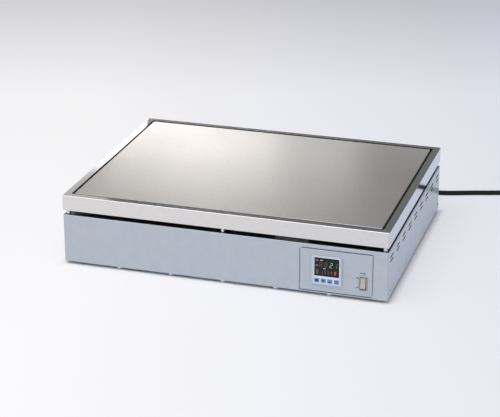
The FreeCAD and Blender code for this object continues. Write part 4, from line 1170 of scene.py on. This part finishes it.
tree.links.new(shader.outputs["BSDF"], cover.inputs[1])
tree.links.new(glow.outputs["Emission"], cover.inputs[2])
tree.links.new(cover.outputs["Shader"], tree.nodes["Material Output"].inputs["Surface"])
bench.data.materials.append(paper)


# Room: plain and pale all round, with a darker wall low down behind the plate, which the
# polished frame mirrors.
ROOM_PALE = (0.93, 0.95, 1.0)
ROOM_WALL = (0.36, 0.375, 0.37)
ROOM_STRENGTH = 0.5
WALL_BEHIND = (0.1, 0.5)
WALL_TOP = (0.55, 0.75)

world = bpy.data.worlds.new("studio")
bpy.context.scene.world = world
world.use_nodes = True
room = world.node_tree
sky = room.nodes["Background"]
sky.inputs["Strength"].default_value = ROOM_STRENGTH
x, y, z = spread(room, room.nodes.new("ShaderNodeTexCoord").outputs["Generated"])
wall = arithmetic(
    room,
    "MULTIPLY",
    between(room, y, 0, 1, *WALL_BEHIND),
    between(room, z, 1, 0, *WALL_TOP),
)
room.links.new(mixed(room, wall, ROOM_PALE, ROOM_WALL), sky.inputs["Color"])


# Lamps: one wide soft lamp overhead and a weaker one at the right. Narrow strips close behind
# the plate are seen only by its satin and the polished frame, and keep clear of the two lines
# that the frame's flange mirrors.
PLATE_MIDDLE = (0, 0, 0.117)
OVERHEAD_PLACE = (-0.4, -1.0, 2.2)
OVERHEAD_SIZE = (2.2, 2.2)
OVERHEAD_RADIANCE = 2.6
OVERHEAD_COLOUR = (0.98, 0.99, 1.0)
CASE_CORE = (0, 0, 0.05)
SIDE_PLACE = (2.2, -0.3, 1.0)
SIDE_SIZE = (1.6, 1.2)
SIDE_RADIANCE = 0.6
SIDE_COLOUR = (0.97, 0.985, 1.0)
STRIP_Y = 0.5
STRIP_WARM = (1.0, 0.985, 0.965)

# Each strip: its left and right, its bottom and top, and its radiance.
STRIPS = [
    (-0.623, -0.473, 0.258, 0.347, 1.5),
    (-0.473, -0.353, 0.258, 0.347, 2.7),
    (-0.353, -0.233, 0.258, 0.347, 5.0),
    (-0.233, -0.113, 0.258, 0.347, 3.9),
    (-0.113, 0.047, 0.258, 0.347, 1.7),
    (-0.473, -0.353, 0.127, 0.202, 4.6),
    (-0.353, -0.113, 0.127, 0.202, 1.5),
    (-0.113, 0.227, 0.127, 0.202, 1.0),
    (-0.473, -0.385, 0.202, 0.258, 2.5),
    (-0.640, -0.473, 0.347, 0.560, 0.4),
]


def lamp(name, place, target, size, radiance, colour):
    """A flat lamp of a given radiance, aimed at a point and unseen by the camera."""
    data = bpy.data.lights.new(name, "AREA")
    data.shape = "RECTANGLE"
    data.size, data.size_y = size
    data.energy = radiance * math.pi * size[0] * size[1]
    data.color = colour
    light = bpy.data.objects.new(name, data)
    bpy.context.scene.collection.objects.link(light)
    light.location = place
    aim = Vector(target) - Vector(place)
    light.rotation_mode = "QUATERNION"
    light.rotation_quaternion = aim.to_track_quat("-Z", "Y")
    light.visible_camera = False
    return light


lamp("overhead", OVERHEAD_PLACE, PLATE_MIDDLE, OVERHEAD_SIZE, OVERHEAD_RADIANCE, OVERHEAD_COLOUR)
lamp("side_fill", SIDE_PLACE, CASE_CORE, SIDE_SIZE, SIDE_RADIANCE, SIDE_COLOUR)
for number, (left, right, bottom, top, radiance) in enumerate(STRIPS):
    middle = ((left + right) / 2, STRIP_Y, (bottom + top) / 2)
    toward = (middle[0], STRIP_Y - 1, middle[2])
    size = (right - left, top - bottom)
    strip = lamp("strip_%d" % number, middle, toward, size, radiance, STRIP_WARM)
    strip.visible_diffuse = False


# Camera: the photograph's viewpoint and focal length, looking down on the unit from its right.
CAMERA_PLACE = (0.74595, -2.47019, 1.08960)
CAMERA_PITCH_DEG = 21.9425
CAMERA_FOCAL_PX = 1676.1
CAMERA_SENSOR_MM = 36
CAMERA_REACH = 60
PICTURE_WIDTH_PX = 500

pitch = math.radians(CAMERA_PITCH_DEG)
forward = Vector(
    (
        math.sin(yaw) * math.cos(pitch),
        math.cos(yaw) * math.cos(pitch),
        -math.sin(pitch),
    )
)
camera_data = bpy.data.cameras.new("camera")
camera_data.sensor_width = CAMERA_SENSOR_MM
camera_data.lens = CAMERA_FOCAL_PX / PICTURE_WIDTH_PX * CAMERA_SENSOR_MM
camera_data.clip_end = CAMERA_REACH
camera = bpy.data.objects.new("camera", camera_data)
bpy.context.scene.collection.objects.link(camera)
camera.location = CAMERA_PLACE
camera.rotation_mode = "QUATERNION"
camera.rotation_quaternion = forward.to_track_quat("-Z", "Y")
bpy.context.scene.camera = camera
bpy.context.scene.view_settings.view_transform = "Standard"
